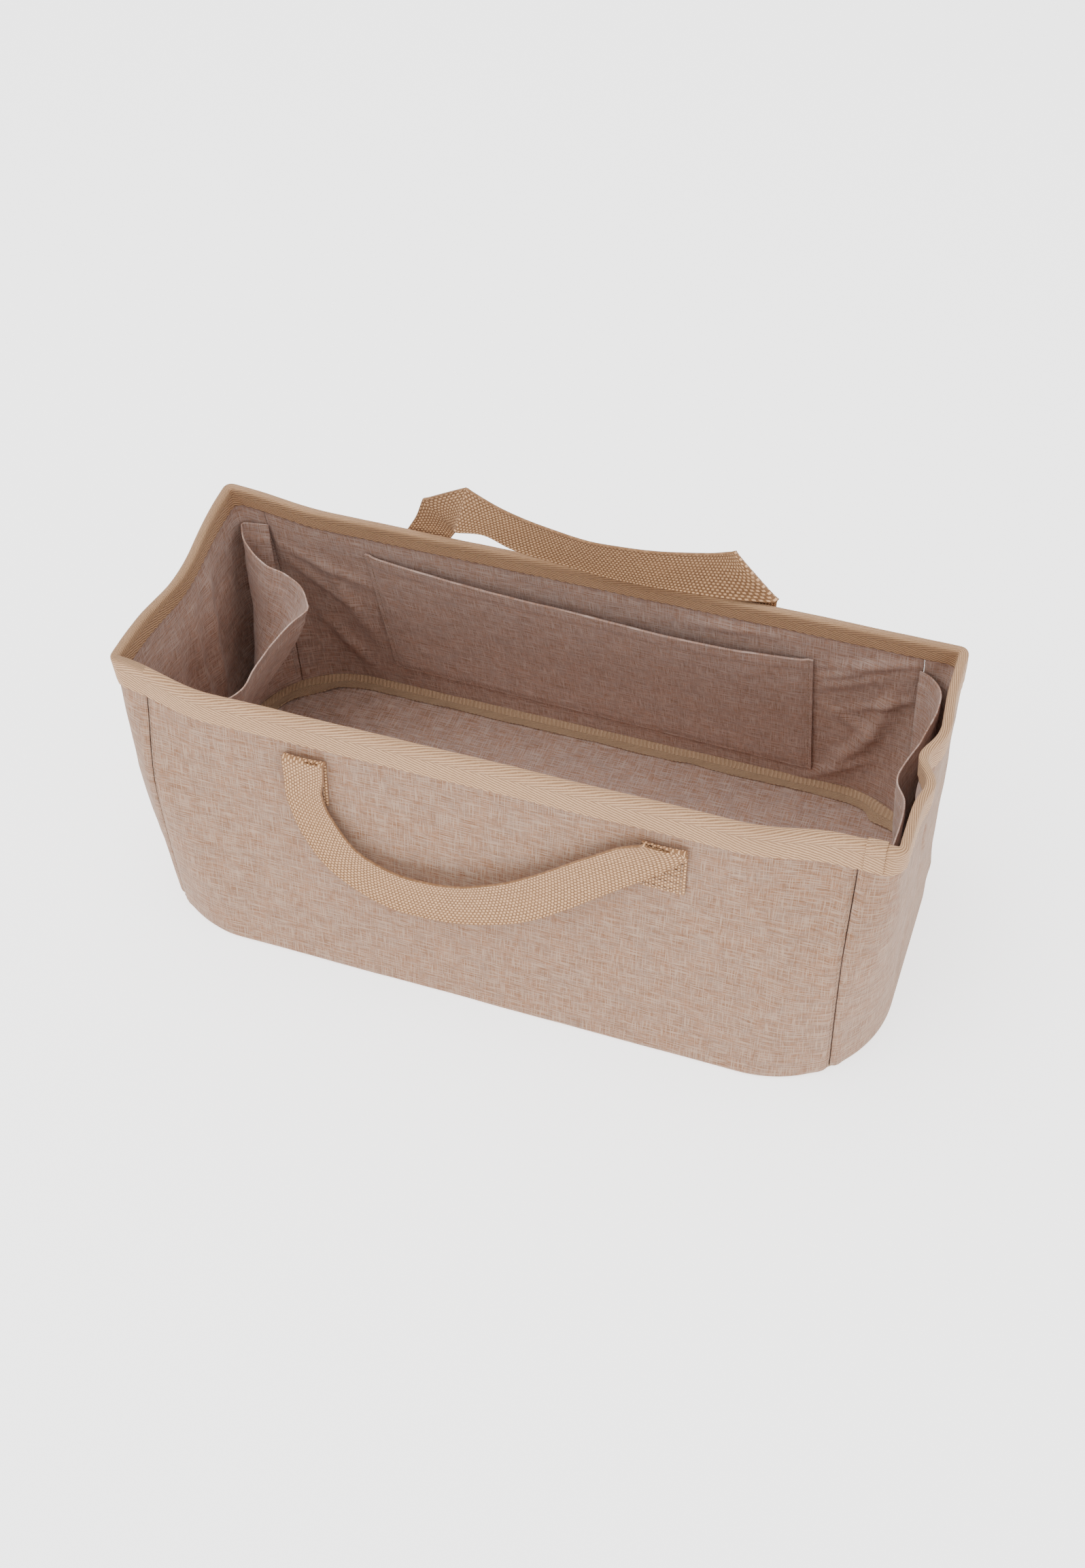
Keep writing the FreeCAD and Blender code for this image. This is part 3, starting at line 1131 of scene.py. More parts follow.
@dataclass
class Shell:
    """The outer cloths and the linings of the walls, the ends and the base."""

    form: BinForm
    finishes: Finishes
    cloth: float = 0.9
    step: float = 3.0
    seam_gap: float = 0.35
    foot_radius: float = 3.0
    rim_tuck: float = 1.4
    floor_sag: float = 0.6
    lining_inset: float = 3.05
    base_clearance: float = 0.2
    floor_inset: float = 4.6
    pucker_pitch: float = 4.0

    def panel(
        self,
        name: str,
        place: Callable[[float, float, float], Point],
        reach: Callable[[float], float],
        low: float,
        inset: float,
        rounded: bool,
    ) -> ClothSheet:
        """A panel between two seams.

        Args:
            name: The piece's name.
            place: Gives the point from the share along, the height and the inset.
            reach: Gives half of the panel's length at a height.
            low: Its lowest height.
            inset: How far in its outer face lies.
            rounded: Whether its foot turns in under the base.

        Returns:
            The panel.
        """
        form = self.form
        high = form.height - self.rim_tuck
        mean = reach(form.height / 2)
        rows = samples(low, high, self.step)
        if rounded:
            turned = [low + self.foot_radius * (1 - math.cos(math.radians(a))) for a in (0, 25, 50, 70)]
            rows = turned + [z for z in rows if z > low + self.foot_radius]
        columns = samples(-mean, mean, self.step)
        points = np.zeros((len(rows), len(columns), 3))
        flat = np.zeros((len(rows), len(columns), 2))
        for r, z in enumerate(rows):
            under = 0.0
            if rounded and z < low + self.foot_radius:
                rise = (low + self.foot_radius - z) / self.foot_radius
                under = self.foot_radius * (1.0 - math.sqrt(max(0.0, 1.0 - rise * rise)))
            half = reach(z)
            for c, column in enumerate(columns):
                share = column / mean * (1.0 - self.seam_gap / half)
                points[r, c] = place(share, z, inset + under)
                flat[r, c] = (share * half, z)
        return ClothSheet(name, points, flat, self.cloth)

    def seam(self, u: float, half: float, v: float) -> float:
        """The tuck beside a seam.

        Args:
            u: Place along the panel.
            half: Half of its length there.
            v: Height.

        Returns:
            The lift.
        """
        edge = half - abs(u)
        pucker = 0.16 * math.cos(v * 2 * math.pi / self.pucker_pitch) * bell(edge - 1.5, 2.5)
        return 0.75 * bell(edge - 5.5, 3.6) - 0.95 * bell(edge, 1.4) + pucker

    def outer_wall(self, side: Side, creases: Sequence[Crease]) -> None:
        """The outer cloth of a long wall.

        Args:
            side: Which wall.
            creases: Its folds.
        """
        form = self.form
        name = side.name.lower() + "_wall_cloth"
        turn = -side.value

        def place(share: float, z: float, inset: float) -> Point:
            return form.wall_point(side, share * turn * form.seam_x, z, inset)

        def lift(u: float, v: float) -> float:
            puff = 0.35 * rumple(u, v, side.value * 7.0, 60.0) + sum(c.at(u, v) for c in creases)
            free = smooth((form.seam_x - abs(u)) / 12.0)
            edge = smooth((form.height - 18.0 - v) / 12.0)
            return max(-0.2, puff) * free * edge + self.seam(u, form.seam_x, v)

        sheet = self.panel(name, place, lambda z: form.seam_x, self.base_clearance, 0.0, True).lift(lift)
        node = side.name.lower() + "_outer_cloth"
        obj = dress(sheet.build(), self.finishes.shell, "shell_cloth", "bin", node)

    def outer_end(self, end: End, creases: Sequence[Crease]) -> None:
        """The outer cloth of an end.

        Args:
            end: Which end.
            creases: Its folds.
        """
        form = self.form
        name = end.name.lower() + "_end_cloth"

        def place(share: float, z: float, inset: float) -> Point:
            return form.end_point(end, share * end.value, z, inset)

        def lift(u: float, v: float) -> float:
            half = form.end_reach(v, 0.0)
            puff = 0.9 * rumple(u, v, end.value * 3.0, 40.0) + sum(c.at(u, v) for c in creases)
            free = smooth((half - abs(u)) / 18.0) * smooth((form.height - 19.0 - v) / 25.0) * smooth(v / 25.0)
            return puff * free + self.seam(u, half, v)

        sheet = self.panel(name, place, lambda z: form.end_reach(z, 0.0), self.base_clearance, 0.0, True)
        node = end.name.lower() + "_end_outer_cloth"
        obj = dress(sheet.lift(lift).build(), self.finishes.shell, "shell_cloth", "bin", node)

    def wall_lining(self, side: Side, creases: Sequence[Crease]) -> None:
        """The lining of a long wall.

        Args:
            side: Which wall.
            creases: Its folds, which lift into the bin.
        """
        form = self.form
        name = side.name.lower() + "_wall_lining"
        turn = -side.value

        def place(share: float, z: float, inset: float) -> Point:
            return form.wall_point(side, share * turn * form.seam_x, z, inset)

        def lift(u: float, v: float) -> float:
            puff = 0.5 + 0.7 * rumple(u, v, side.value * 11.0, 50.0) + sum(c.at(u, v) for c in creases)
            free = smooth((form.seam_x - abs(u)) / 8.0)
            edge = smooth((form.height - 19.0 - v) / 12.0) * smooth((v - form.floor_top) / 14.0)
            return -max(0.0, puff) * free * edge - 0.5 * bell(form.seam_x - abs(u) - 4.0, 3.0)

        sheet = self.panel(name, place, lambda z: form.seam_x, form.floor_top, self.lining_inset, False)
        sheet = sheet.lift(lift)
        obj = dress(sheet.build(), self.finishes.lining, "lining_cloth", "bin", side.name.lower() + "_lining")

    def end_lining(self, end: End, creases: Sequence[Crease]) -> None:
        """The lining of an end.

        Args:
            end: Which end.
            creases: Its folds, which lift into the bin.
        """
        form = self.form
        inset = self.lining_inset
        name = end.name.lower() + "_end_lining_cloth"

        def place(share: float, z: float, depth: float) -> Point:
            return form.end_point(end, share * end.value, z, depth)

        def lift(u: float, v: float) -> float:
            half = form.end_reach(v, inset)
            puff = 1.2 + 1.6 * rumple(u, v, end.value * 5.0, 34.0) + sum(c.at(u, v) for c in creases)
            free = smooth((half - abs(u)) / 10.0)
            edge = smooth((form.height - 19.0 - v) / 22.0) * smooth((v - form.floor_top) / 20.0)
            return -max(-1.2, puff) * free * edge - 0.5 * bell(half - abs(u) - 4.0, 3.0)

        sheet = self.panel(name, place, lambda z: form.end_reach(z, inset), form.floor_top, inset, False)
        node = end.name.lower() + "_end_lining"
        obj = dress(sheet.lift(lift).build(), self.finishes.lining, "lining_cloth", "bin", node)

    def slab(self, name: str, height: float, inset: float, up: float) -> ClothSheet:
        """A level cloth that fills the outline.

        Args:
            name: The piece's name.
            height: Its upper or lower face.
            inset: How far in its edge lies.
            up: 1 where the face that shows looks up and -1 where it looks down.

        Returns:
            The cloth.
        """
        form = self.form
        outline = ring(form, height, inset, 5.0)
        shares = [0.02, 0.1, 0.2, 0.3, 0.4, 0.5, 0.6, 0.7, 0.78, 0.85, 0.9, 0.94, 0.97, 0.99, 1.0]
        order = shares if up > 0 else shares[::-1]
        points = np.array([[(x * k, y * k, height) for x, y, _ in outline] for k in reversed(order)])
        flat = np.array([[(x * k, y * k) for x, y, _ in outline + outline[:1]] for k in reversed(order)])
        return ClothSheet(name, points, flat, self.cloth, wrap=True)

    def base(self) -> None:
        """The cloth under the base and the floor lining."""
        under = self.slab("base_cloth", 0.05, self.foot_radius - 0.3, -1.0)
        closed = close_middle(under.build())
        obj = dress(closed, self.finishes.shell, "shell_cloth", "bin", "base_outer_cloth")

        floor = self.slab("floor_cloth", self.form.floor_top + 0.6, self.floor_inset, 1.0)
        half_x, half_y = self.form.base_length / 2, self.form.base_depth / 2

        def lift(u: float, v: float) -> float:
            edge = min(half_x - abs(u), half_y - abs(v))
            return self.floor_sag * (0.4 + 0.6 * rumple(u, v, 2.0, 70.0)) * smooth((edge - 10.0) / 30.0)

        closed = close_middle(floor.lift(lift).build())
        obj = dress(closed, self.finishes.lining, "lining_cloth", "bin", "floor_lining")


MIDDLE_REACH = 0.0065
LEVELS_PER_METRE = 1e4


def close_middle(obj: bpy.types.Object) -> bpy.types.Object:
    """Closes the small hole in the middle of a ringed cloth.

    Args:
        obj: The cloth, whose innermost ring is tiny.

    Returns:
        The same object.
    """
    made = bmesh.new()
    made.from_mesh(obj.data)
    inside = sorted(made.verts, key=lambda v: v.co.x**2 + v.co.y**2)
    reach = math.hypot(inside[0].co.x, inside[0].co.y)
    near = [v for v in made.verts if math.hypot(v.co.x, v.co.y) < max(reach, MIDDLE_REACH)]
    for z in {round(v.co.z * LEVELS_PER_METRE) for v in near}:
        level = [v for v in near if v.is_valid and round(v.co.z * LEVELS_PER_METRE) == z]
        bmesh.ops.pointmerge(made, verts=level, merge_co=Vector((0.0, 0.0, z / LEVELS_PER_METRE)))
    bmesh.ops.dissolve_degenerate(made, dist=1e-6, edges=made.edges)
    made.to_mesh(obj.data)
    made.free()
    return obj


def ring(form: BinForm, z: float, inset: float, step: float) -> List[Tuple[float, float, float]]:
    """Points all round the bin, anticlockwise from above.

    Args:
        form: The outline.
        z: The height.
        inset: Distance in from the outer face.
        step: Spacing of the points.

    Returns:
        For each point its x, its y and how far round it lies.
    """
    walls = math.ceil(2 * form.seam_x / step)
    ends = math.ceil(2 * form.end_reach(form.height, 0.0) / step * 1.3)
    around: List[Tuple[float, float]] = []
    for i in range(walls):
        around.append(form.wall_point(Side.FRONT, (2 * i / walls - 1) * form.seam_x, z, inset)[:2])
    for i in range(ends):
        around.append(form.end_point(End.RIGHT, 2 * i / ends - 1, z, inset)[:2])
    for i in range(walls):
        around.append(form.wall_point(Side.BACK, (1 - 2 * i / walls) * form.seam_x, z, inset)[:2])
    for i in range(ends):
        around.append(form.end_point(End.LEFT, 1 - 2 * i / ends, z, inset)[:2])
    out: List[Tuple[float, float, float]] = []
    gone = 0.0
    for i, (x, y) in enumerate(around):
        if i:
            gone += math.hypot(x - around[i - 1][0], y - around[i - 1][1])
        out.append((x, y, gone))
    return out


@dataclass
class Binding:
    """The tape over the rim, its lap, and the tape along the floor seam."""

    form: BinForm
    finishes: Finishes
    thickness: float = 1.1
    outer_drop: float = 20.0
    inner_drop: float = 17.0
    roll: float = 2.6
    step: float = 2.0
    scallop: float = 6.0
    lap_from: float = 243.0
    lap_to: float = 255.5
    lap_thickness: float = 0.8
    stand_off: float = 1.25

    def section(self, lift: float) -> List[Tuple[float, float, float]]:
        """The tape's section over the rim.

        Args:
            lift: How much further out than the tape itself.

        Returns:
            For each point its inset, its height and its place across the tape.
        """
        top = self.form.height - 0.1 + lift
        out, inn = -self.stand_off - lift, self.form.wall + self.stand_off + lift
        rows = [(out, top - self.outer_drop), (out, top - self.outer_drop + 0.5)]
        rows += [
            (out - 0.15 * math.sin(math.pi * i / 7), top - self.outer_drop + 2.3 * i)
            for i in range(1, 7)
        ]
        for angle in range(0, 91, 18):
            turn = math.radians(angle)
            rows.append((out + self.roll * (1 - math.cos(turn)), top - self.roll * (1 - math.sin(turn))))
        for angle in range(0, 91, 18):
            turn = math.radians(angle)
            rows.append((inn - self.roll * (1 - math.sin(turn)), top - self.roll * (1 - math.cos(turn))))
        rows += [(inn, top - 5.0 - 2.2 * i) for i in range(5)]
        rows += [(inn, top - self.inner_drop + 0.5), (inn, top - self.inner_drop)]
        across = 0.0
        out_rows = [(rows[0][0], rows[0][1], 0.0)]
        for before, here in zip(rows, rows[1:]):
            across += math.hypot(here[0] - before[0], here[1] - before[1])
            out_rows.append((here[0], here[1], across))
        return out_rows

    def sweep(self, name: str, section: Sequence[Tuple[float, float, float]], waves: Callable) -> ClothSheet:
        """Carries a section all round the bin.

        Args:
            name: The piece's name.
            section: For each row its inset, its height and its place across.
            waves: Gives the extra inset and rise from the place around, the share across, and x and y.

        Returns:
            The sheet.
        """
        points, flat = [], []
        for r, (inset, z, across) in enumerate(section):
            line = ring(self.form, z, inset, self.step)
            row, row_flat = [], []
            for x, y, gone in line:
                extra, rise = waves(gone, r / (len(section) - 1), x, y)
                pull = extra / math.hypot(x, y)
                row.append((x * (1 - pull), y * (1 - pull), z + rise))
                row_flat.append((gone, across))
            row_flat.append((row_flat[-1][0] + self.step, across))
            points.append(row)
            flat.append(row_flat)
        return ClothSheet(name, np.array(points), np.array(flat), self.thickness, wrap=True)

    def build(self) -> None:
        """Makes the tapes."""
        wave = 2 * math.pi / self.scallop

        def rim_waves(gone: float, share: float, x: float, y: float) -> Tuple[float, float]:
            outer = smooth(1 - share * 4.5)
            inner = smooth((share - 0.8) * 5)
            edge = math.cos(gone * wave) * 0.35 * (outer + inner)
            slow = noise.noise(Vector((gone / 55.0, 0.0, 4.0))) * 0.5
            slow += noise.noise(Vector((gone / 17.0, 3.0, 4.0))) * 0.2
            return 0.15 * math.cos(gone * wave) * (outer - inner), edge + slow * (1.0 if share < 0.8 else 0.6)

        sheet = self.sweep("rim_tape", self.section(0.0), rim_waves)
        obj = dress(sheet.build(), self.finishes.tape, "binding_tape", "bin", "rim_binding")
        lap = self.lap()
        self.floor_tape()

    def lap(self) -> bpy.types.Object:
        """The end of the tape where it laps over its own start.

        Returns:
            The piece.
        """
        section = self.section(0.9)
        columns = samples(self.lap_from, self.lap_to, 1.5, 0.4)
        points, flat = [], []
        for inset, z, across in section:
            row = []
            last = self.form.half_length(z) - inset - 1.0
            for x in columns:
                _, y, _ = self.form.wall_point(Side.FRONT, min(x, last), z, inset)
                row.append((x, y, z - 0.2 + 0.3 * smooth((x - self.lap_from) / 9.0)))
            points.append(row)
            flat.append([(x + 7.0, across + 0.8) for x in columns])
        sheet = ClothSheet("rim_tape_lap", np.array(points), np.array(flat), self.lap_thickness)
        return dress(sheet.build(), self.finishes.tape, "binding_tape", "bin")

    def floor_tape(self) -> None:
        """The tape sewn into the corner of the wall and the floor, whose free edge hangs over the floor."""
        floor = self.form.floor_top
        rows = [
            (4.6, 13.4), (5.0, 12.9), (6.4, 11.5), (8.0, 9.8),
            (9.6, 8.3), (11.2, 7.1), (12.6, 6.5), (13.1, 6.4),
        ]
        section, across = [], 0.0
        for i, (inset, rise) in enumerate(rows):
            if i:
                across += math.hypot(inset - rows[i - 1][0], rise - rows[i - 1][1])
            section.append((inset, floor + rise - 4.0, across))

        def waves(gone: float, share: float, x: float, y: float) -> Tuple[float, float]:
            corner = bell(abs(x) - 228.0, 26.0) * (1.0 if y > 0 else 0.5)
            sway = noise.noise(Vector((gone / 38.0, 1.0, 8.0))) * (2.0 + 3.0 * corner)
            at_back = 1.0 if y > 40.0 else 0.0
            buckle = (6.5 * bell(x - 221.0, 8.0) - 3.0 * bell(x - 238.0, 7.0)) * at_back
            curl = 1.0 * noise.noise(Vector((gone / 15.0, 7.0, 8.0))) + 1.4 * corner * math.sin(gone / 5.5)
            return (sway + buckle) * share, max(-0.6, curl) * share

        sheet = self.sweep("floor_tape", section, waves)
        obj = dress(sheet.build(), self.finishes.floor_tape, "binding_tape", "bin", "floor_seam_binding")


@dataclass
class Pockets:
    """The flat pocket on the back wall and the two pockets across the ends."""

    form: BinForm
    finishes: Finishes
    hem: float = 13.0
    stitch_inset: float = 3.0
    columns: int = 90
    foot_inset: float = 8.2
    back_width: float = 328.0
    back_low: float = 36.0
    back_high: float = 175.0
    back_shift: float = 2.0
    back_slope: float = 1.9
    back_gape: float = 7.0
    end_low: float = 23.0
    end_below_rim: float = 30.0

    def back(self) -> None:
        """Makes the pocket on the back wall."""
        form = self.form
        middle = (self.back_low + self.back_high) / 2
        turn = math.radians(self.back_slope)
        lean = form.lean
        half = self.back_width / 2
        normal = Vector((0.0, -math.cos(lean), -math.sin(lean)))
        up = Vector((0.0, -math.sin(lean), math.cos(lean)))
        centre = Vector((self.back_shift, form.half_depth(middle) - form.wall - 0.9, middle))
        tall = (self.back_high - self.back_low) / math.cos(lean) / 2

        folds = [Crease(-110.0, -20.0, 62.0, 45.0, 7.0, 1.1), Crease(60.0, 20.0, 110.0, 40.0, 9.0, 0.9)]

        def spot(u: float, v: float, lift: float) -> Point:
            across = Vector((-u * math.cos(turn), 0.0, 0.0)) + up * (v + u * math.sin(turn))
            return tuple(centre + across + normal * lift)

        def lift(u: float, v: float) -> float:
            side = max(0.0, 1.0 - (abs(u) / half) ** 4)
            rise = smooth((v + tall) / (2 * tall))
            gape = self.back_gape * side * rise**1.6 * (0.85 + 0.3 * bell(u + 60.0, 90.0))
            sewn = smooth((half - abs(u)) / 9.0) * smooth((v + tall) / 9.0)
            soft = (0.7 + 0.8 * rumple(u, v, 13.0, 48.0)) * sewn
            stitch = -0.6 * bell(half - 3.2 - abs(u), 1.1) - 0.6 * bell(v + tall - 3.2, 1.1)
            hem_line = -0.35 * bell(tall - v - self.hem, 1.0) + 0.45 * smooth((v - tall + self.hem) / 1.5)
            creased = sum(fold.at(u, v) for fold in folds) * sewn
            return 1.0 + gape + max(0.0, soft + creased) + stitch + hem_line

        rows, columns = samples(-tall, tall, 2.0), samples(-half, half, 3.0)
        points = np.array([[spot(u, v, lift(u, v) + 0.9) for u in columns] for v in rows])
        flat = np.array([[(u, v) for u in columns] for v in rows])
        sheet = ClothSheet("back_pocket_cloth", points[:, ::-1], flat[:, ::-1], 1.5)
        obj = dress(sheet.build(), self.finishes.pocket, "pocket_cloth", "bin", "back_pocket")
        stitches = StitchRows("back_pocket_thread")
        inset = self.stitch_inset
        sides = samples(-tall + inset, tall - 1.0, 3.0)
        for u in (-half + inset, half - inset):
            stitches.add([spot(u, v, lift(u, v) + 1.0) for v in sides])
        for v in (-tall + inset, tall - self.hem):
            stitches.add([spot(u, v, lift(u, v) + 1.0) for u in samples(-half + inset, half - inset, 3.0)])
        thread = stitches.build(self.finishes.thread)
        dress(thread, self.finishes.thread, "sewing_thread", "bin", "back_pocket_stitching")

    def end(self, end: End, mouth: Sequence[Tuple[float, float]], creases: Sequence[Crease]) -> None:
        """Makes a pocket across an end.

        Args:
            end: Which end.
            mouth: From the back wall to the front wall, the distance in from the end's face and the share of
                the half depth between the linings.
            creases: Its folds.
        """
        form = self.form
        high = form.height - self.end_below_rim
        side = form.half_depth(high) - form.wall - 0.7
        spans = self.columns - 1
        top = catmull([(end.value * (form.half_length(high) - i), y * side) for i, y in mouth], 10)
        top = even_line(top, self.columns)
        shares = [1.0 - 2.0 * c / spans for c in range(self.columns)]
        foot = [form.end_point(end, share, self.end_low, self.foot_inset)[:2] for share in shares]
        rows = samples(0.0, high - self.end_low, 2.5)
        total = rows[-1]
        points, flat = [], []
        width = sum(math.dist(a, b) for a, b in zip(top, top[1:]))
        for v in rows:
            share = v / total
            ease = 0.55 * share + 0.45 * smooth(share)
            row = []
            for c in range(self.columns):
                x = foot[c][0] + (top[c][0] - foot[c][0]) * ease
                y = foot[c][1] + (top[c][1] - foot[c][1]) * share
                limit = form.half_depth(self.end_low + v) - form.wall - 0.8
                row.append((x, max(-limit, min(limit, y)), self.end_low + v))
            points.append(row)
            flat.append([(width * (0.5 - c / spans), v) for c in range(self.columns)])
        grid, plan = np.array(points), np.array(flat)
        if end is End.RIGHT:
            grid, plan = grid[:, ::-1], plan[:, ::-1]

        def lift(u: float, v: float) -> float:
            near = smooth((width / 2 - abs(u)) / 12.0) * smooth(v / 12.0)
            soft = rumple(u, v, end.value * 17.0, 30.0) + sum(c.at(u, v) for c in creases)
            hem = 0.45 * smooth((v - total + self.hem) / 1.2) - 0.4 * bell(total - v - self.hem - 0.6, 0.9)
            return hem - soft * near

        name = end.name.lower() + "_pocket_cloth"
        sheet = ClothSheet(name, grid, plan, 1.0).lift(lift)
        node = end.name.lower() + "_end_pocket"
        obj = dress(sheet.build(), self.finishes.pocket, "pocket_cloth", "bin", node)
        measured = width * total / 1e6
        flat_size = (width / 1000.0, (total + self.hem) / 1000.0)


def even_line(line: Sequence[Sequence[float]], count: int) -> List[Tuple[float, float]]:
    """Spaces points evenly along a line.

    Args:
        line: The line.
        count: How many points.

    Returns:
        The new points.
    """
    arr = np.array(line, float)
    gone = np.concatenate([[0.0], np.cumsum(np.linalg.norm(np.diff(arr, axis=0), axis=1))])
    want = np.linspace(0.0, gone[-1], count)
    return list(zip(np.interp(want, gone, arr[:, 0]), np.interp(want, gone, arr[:, 1])))


@dataclass
class Handle:
    """A strap of webbing with its two sewn ends."""

    form: BinForm
    finishes: Finishes
    side: Side
    width: float = 30.0
    webbing: float = 1.8
    patch_x: float = 122.0
    patch_top: float = 182.0
    patch_height: float = 34.0
    patch_gap: float = 0.25
    weave_start: float = 3.0
    gap: float = 2.9
    steps: int = 8
    blend_from: float = 2.6
    blend_to: float = 1.3

    def wall_frame(self, x: float, z: float, lift: float) -> Point:
        """A point that stands off the wall.

        Args:
            x: Place along the wall.
            z: Height.
            lift: Distance out from the cloth.

        Returns:
            The point.
        """
        return x, self.side.value * (self.form.half_depth(z) + lift), z

    def patch_sheet(self, name: str, x: float) -> ClothSheet:
        """The webbing of one sewn end.

        Args:
            name: The piece's name.
            x: The middle of the end.

        Returns:
            The webbing, cupped a little across its width.
        """
        offsets = [-15.0, -14.6, -13.6, -11.0, -8.0, -4.0, 0.0, 4.0, 8.0, 11.0, 13.6, 14.6, 15.0]
        half = self.width / 2
        lean = math.degrees(self.form.lean)
        face = 180.0 + lean if self.side is Side.FRONT else -lean
        heights = samples(self.patch_top - self.patch_height, self.patch_top, 1.7, 0.5)
        path = [Vector(self.wall_frame(x, z, self.patch_gap + self.webbing / 2)) for z in heights]
        rows, flat, gone = [], [], self.weave_start
        for i, middle in enumerate(path):
            before, after = path[max(i - 1, 0)], path[min(i + 1, len(path) - 1)]
            along = after - before
            if i:
                gone += (middle - before).length
            normal = Vector((0.0, math.cos(math.radians(face)), -math.sin(math.radians(face))))
            across = along.cross(normal).normalized()
            normal = across.cross(along).normalized()
            row = []
            for o in offsets:
                cup = 0.5 * (1.0 - (o / half) ** 2) + 0.3 * noise.noise(Vector((gone / 22.0, o / 14.0, 5.0)))
                edge = -0.35 * bell(half - abs(o), 0.5)
                row.append(tuple(middle + across * o + normal * (self.webbing / 2 + edge - 0.3 + cup * 0.5)))
            rows.append(row)
            flat.append([(gone, o + half) for o in offsets])
        return ClothSheet(name, np.array(rows), np.array(flat), self.webbing)

    def patch_thread(self, name: str, x: float) -> StitchRows:
        """The rows of stitches that hold one sewn end.

        Args:
            name: The piece's name.
            x: The middle of the end.

        Returns:
            The rows, not yet laid.
        """
        thread = StitchRows(name, pitch=3.4, length=2.5, thread=0.6)
        low, high = self.patch_top - self.patch_height + 3.0, self.patch_top - 3.0
        lift = self.patch_gap + self.webbing + 0.35
        for share in (0.0, 0.2, 0.4, 0.6, 0.8, 1.0):
            z = low + (high - low) * share
            thread.add([self.wall_frame(x + dx, z, lift) for dx in (-12.0, -4.0, 4.0, 12.0)])
        for dx in (-12.0, 12.0):
            run = (0.0, 0.33, 0.66, 1.0)
            thread.add([self.wall_frame(x + dx, low + (high - low) * s, lift) for s in run])
        return thread

    def patches(self) -> None:
        """Makes the two sewn ends and their thread."""
        side = self.side.name.lower()
        for end in End:
            x = end.value * self.patch_x
            node = f"{side}_handle_{end.name.lower()}"
            sheet = self.patch_sheet(node + "_patch", x)
            obj = dress(sheet.build(), self.finishes.webbing, "handle_webbing", "bin", node + "_end")
            thread = self.patch_thread(node + "_thread", x).build(self.finishes.thread)
            dress(thread, self.finishes.thread, "sewing_thread", "bin", node + "_stitching")

    def folded_strap(self, name: str, edges: Sequence[Sequence[float]]) -> ClothSheet:
        """Webbing between two edges, which may fold over.

        Args:
            name: The piece's name.
            edges: For each station the x, y and z of one edge and of the other.

        Returns:
            The webbing.
        """
        shares = [0.0, 0.012, 0.045, 0.13, 0.23, 0.36, 0.5, 0.64, 0.77, 0.87, 0.955, 0.988, 1.0]
        path = np.array(catmull(edges, self.steps))
        near, far = path[:, :3], path[:, 3:]
        middle = (near + far) / 2
        gone = np.concatenate([[0.0], np.cumsum(np.linalg.norm(np.diff(middle, axis=0), axis=1))])
        points = np.array([[near[i] * (1 - k) + far[i] * k for k in shares] for i in range(len(path))])
        flat = np.array([[(gone[i], k * self.width) for k in shares] for i in range(len(path))])

        def soft(u: float, v: float) -> float:
            across = v / self.width - 0.5
            cup = 0.7 * (1.0 - 4.0 * across * across) + 0.5 * noise.noise(Vector((u / 24.0, v / 16.0, 5.0)))
            return cup - 0.35 * bell(self.width / 2 - abs(v - self.width / 2), 0.6)

        return ClothSheet(name, points, flat, self.webbing).lift(soft)

    def build(self, edges: Sequence[Sequence[float]]) -> None:
        """Makes the handle.

        Args:
            edges: The two edges of the strap, from the left fold to the right one.
        """
        name = self.side.name.lower() + "_handle"
        sheet = self.folded_strap(name + "_strap", edges)
        length = float(sheet.flat[-1, 0, 0]) * MM
        obj = sheet.build()
        obj.data.materials.append(self.finishes.webbing)
        hinge_y = self.side.value * (self.form.half_depth(self.patch_top) + self.gap + self.webbing / 2)
        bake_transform(obj)
        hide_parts(name)
        log.info("%s: strap of %.0f mm", obj.name, length / MM)
        self.patches()


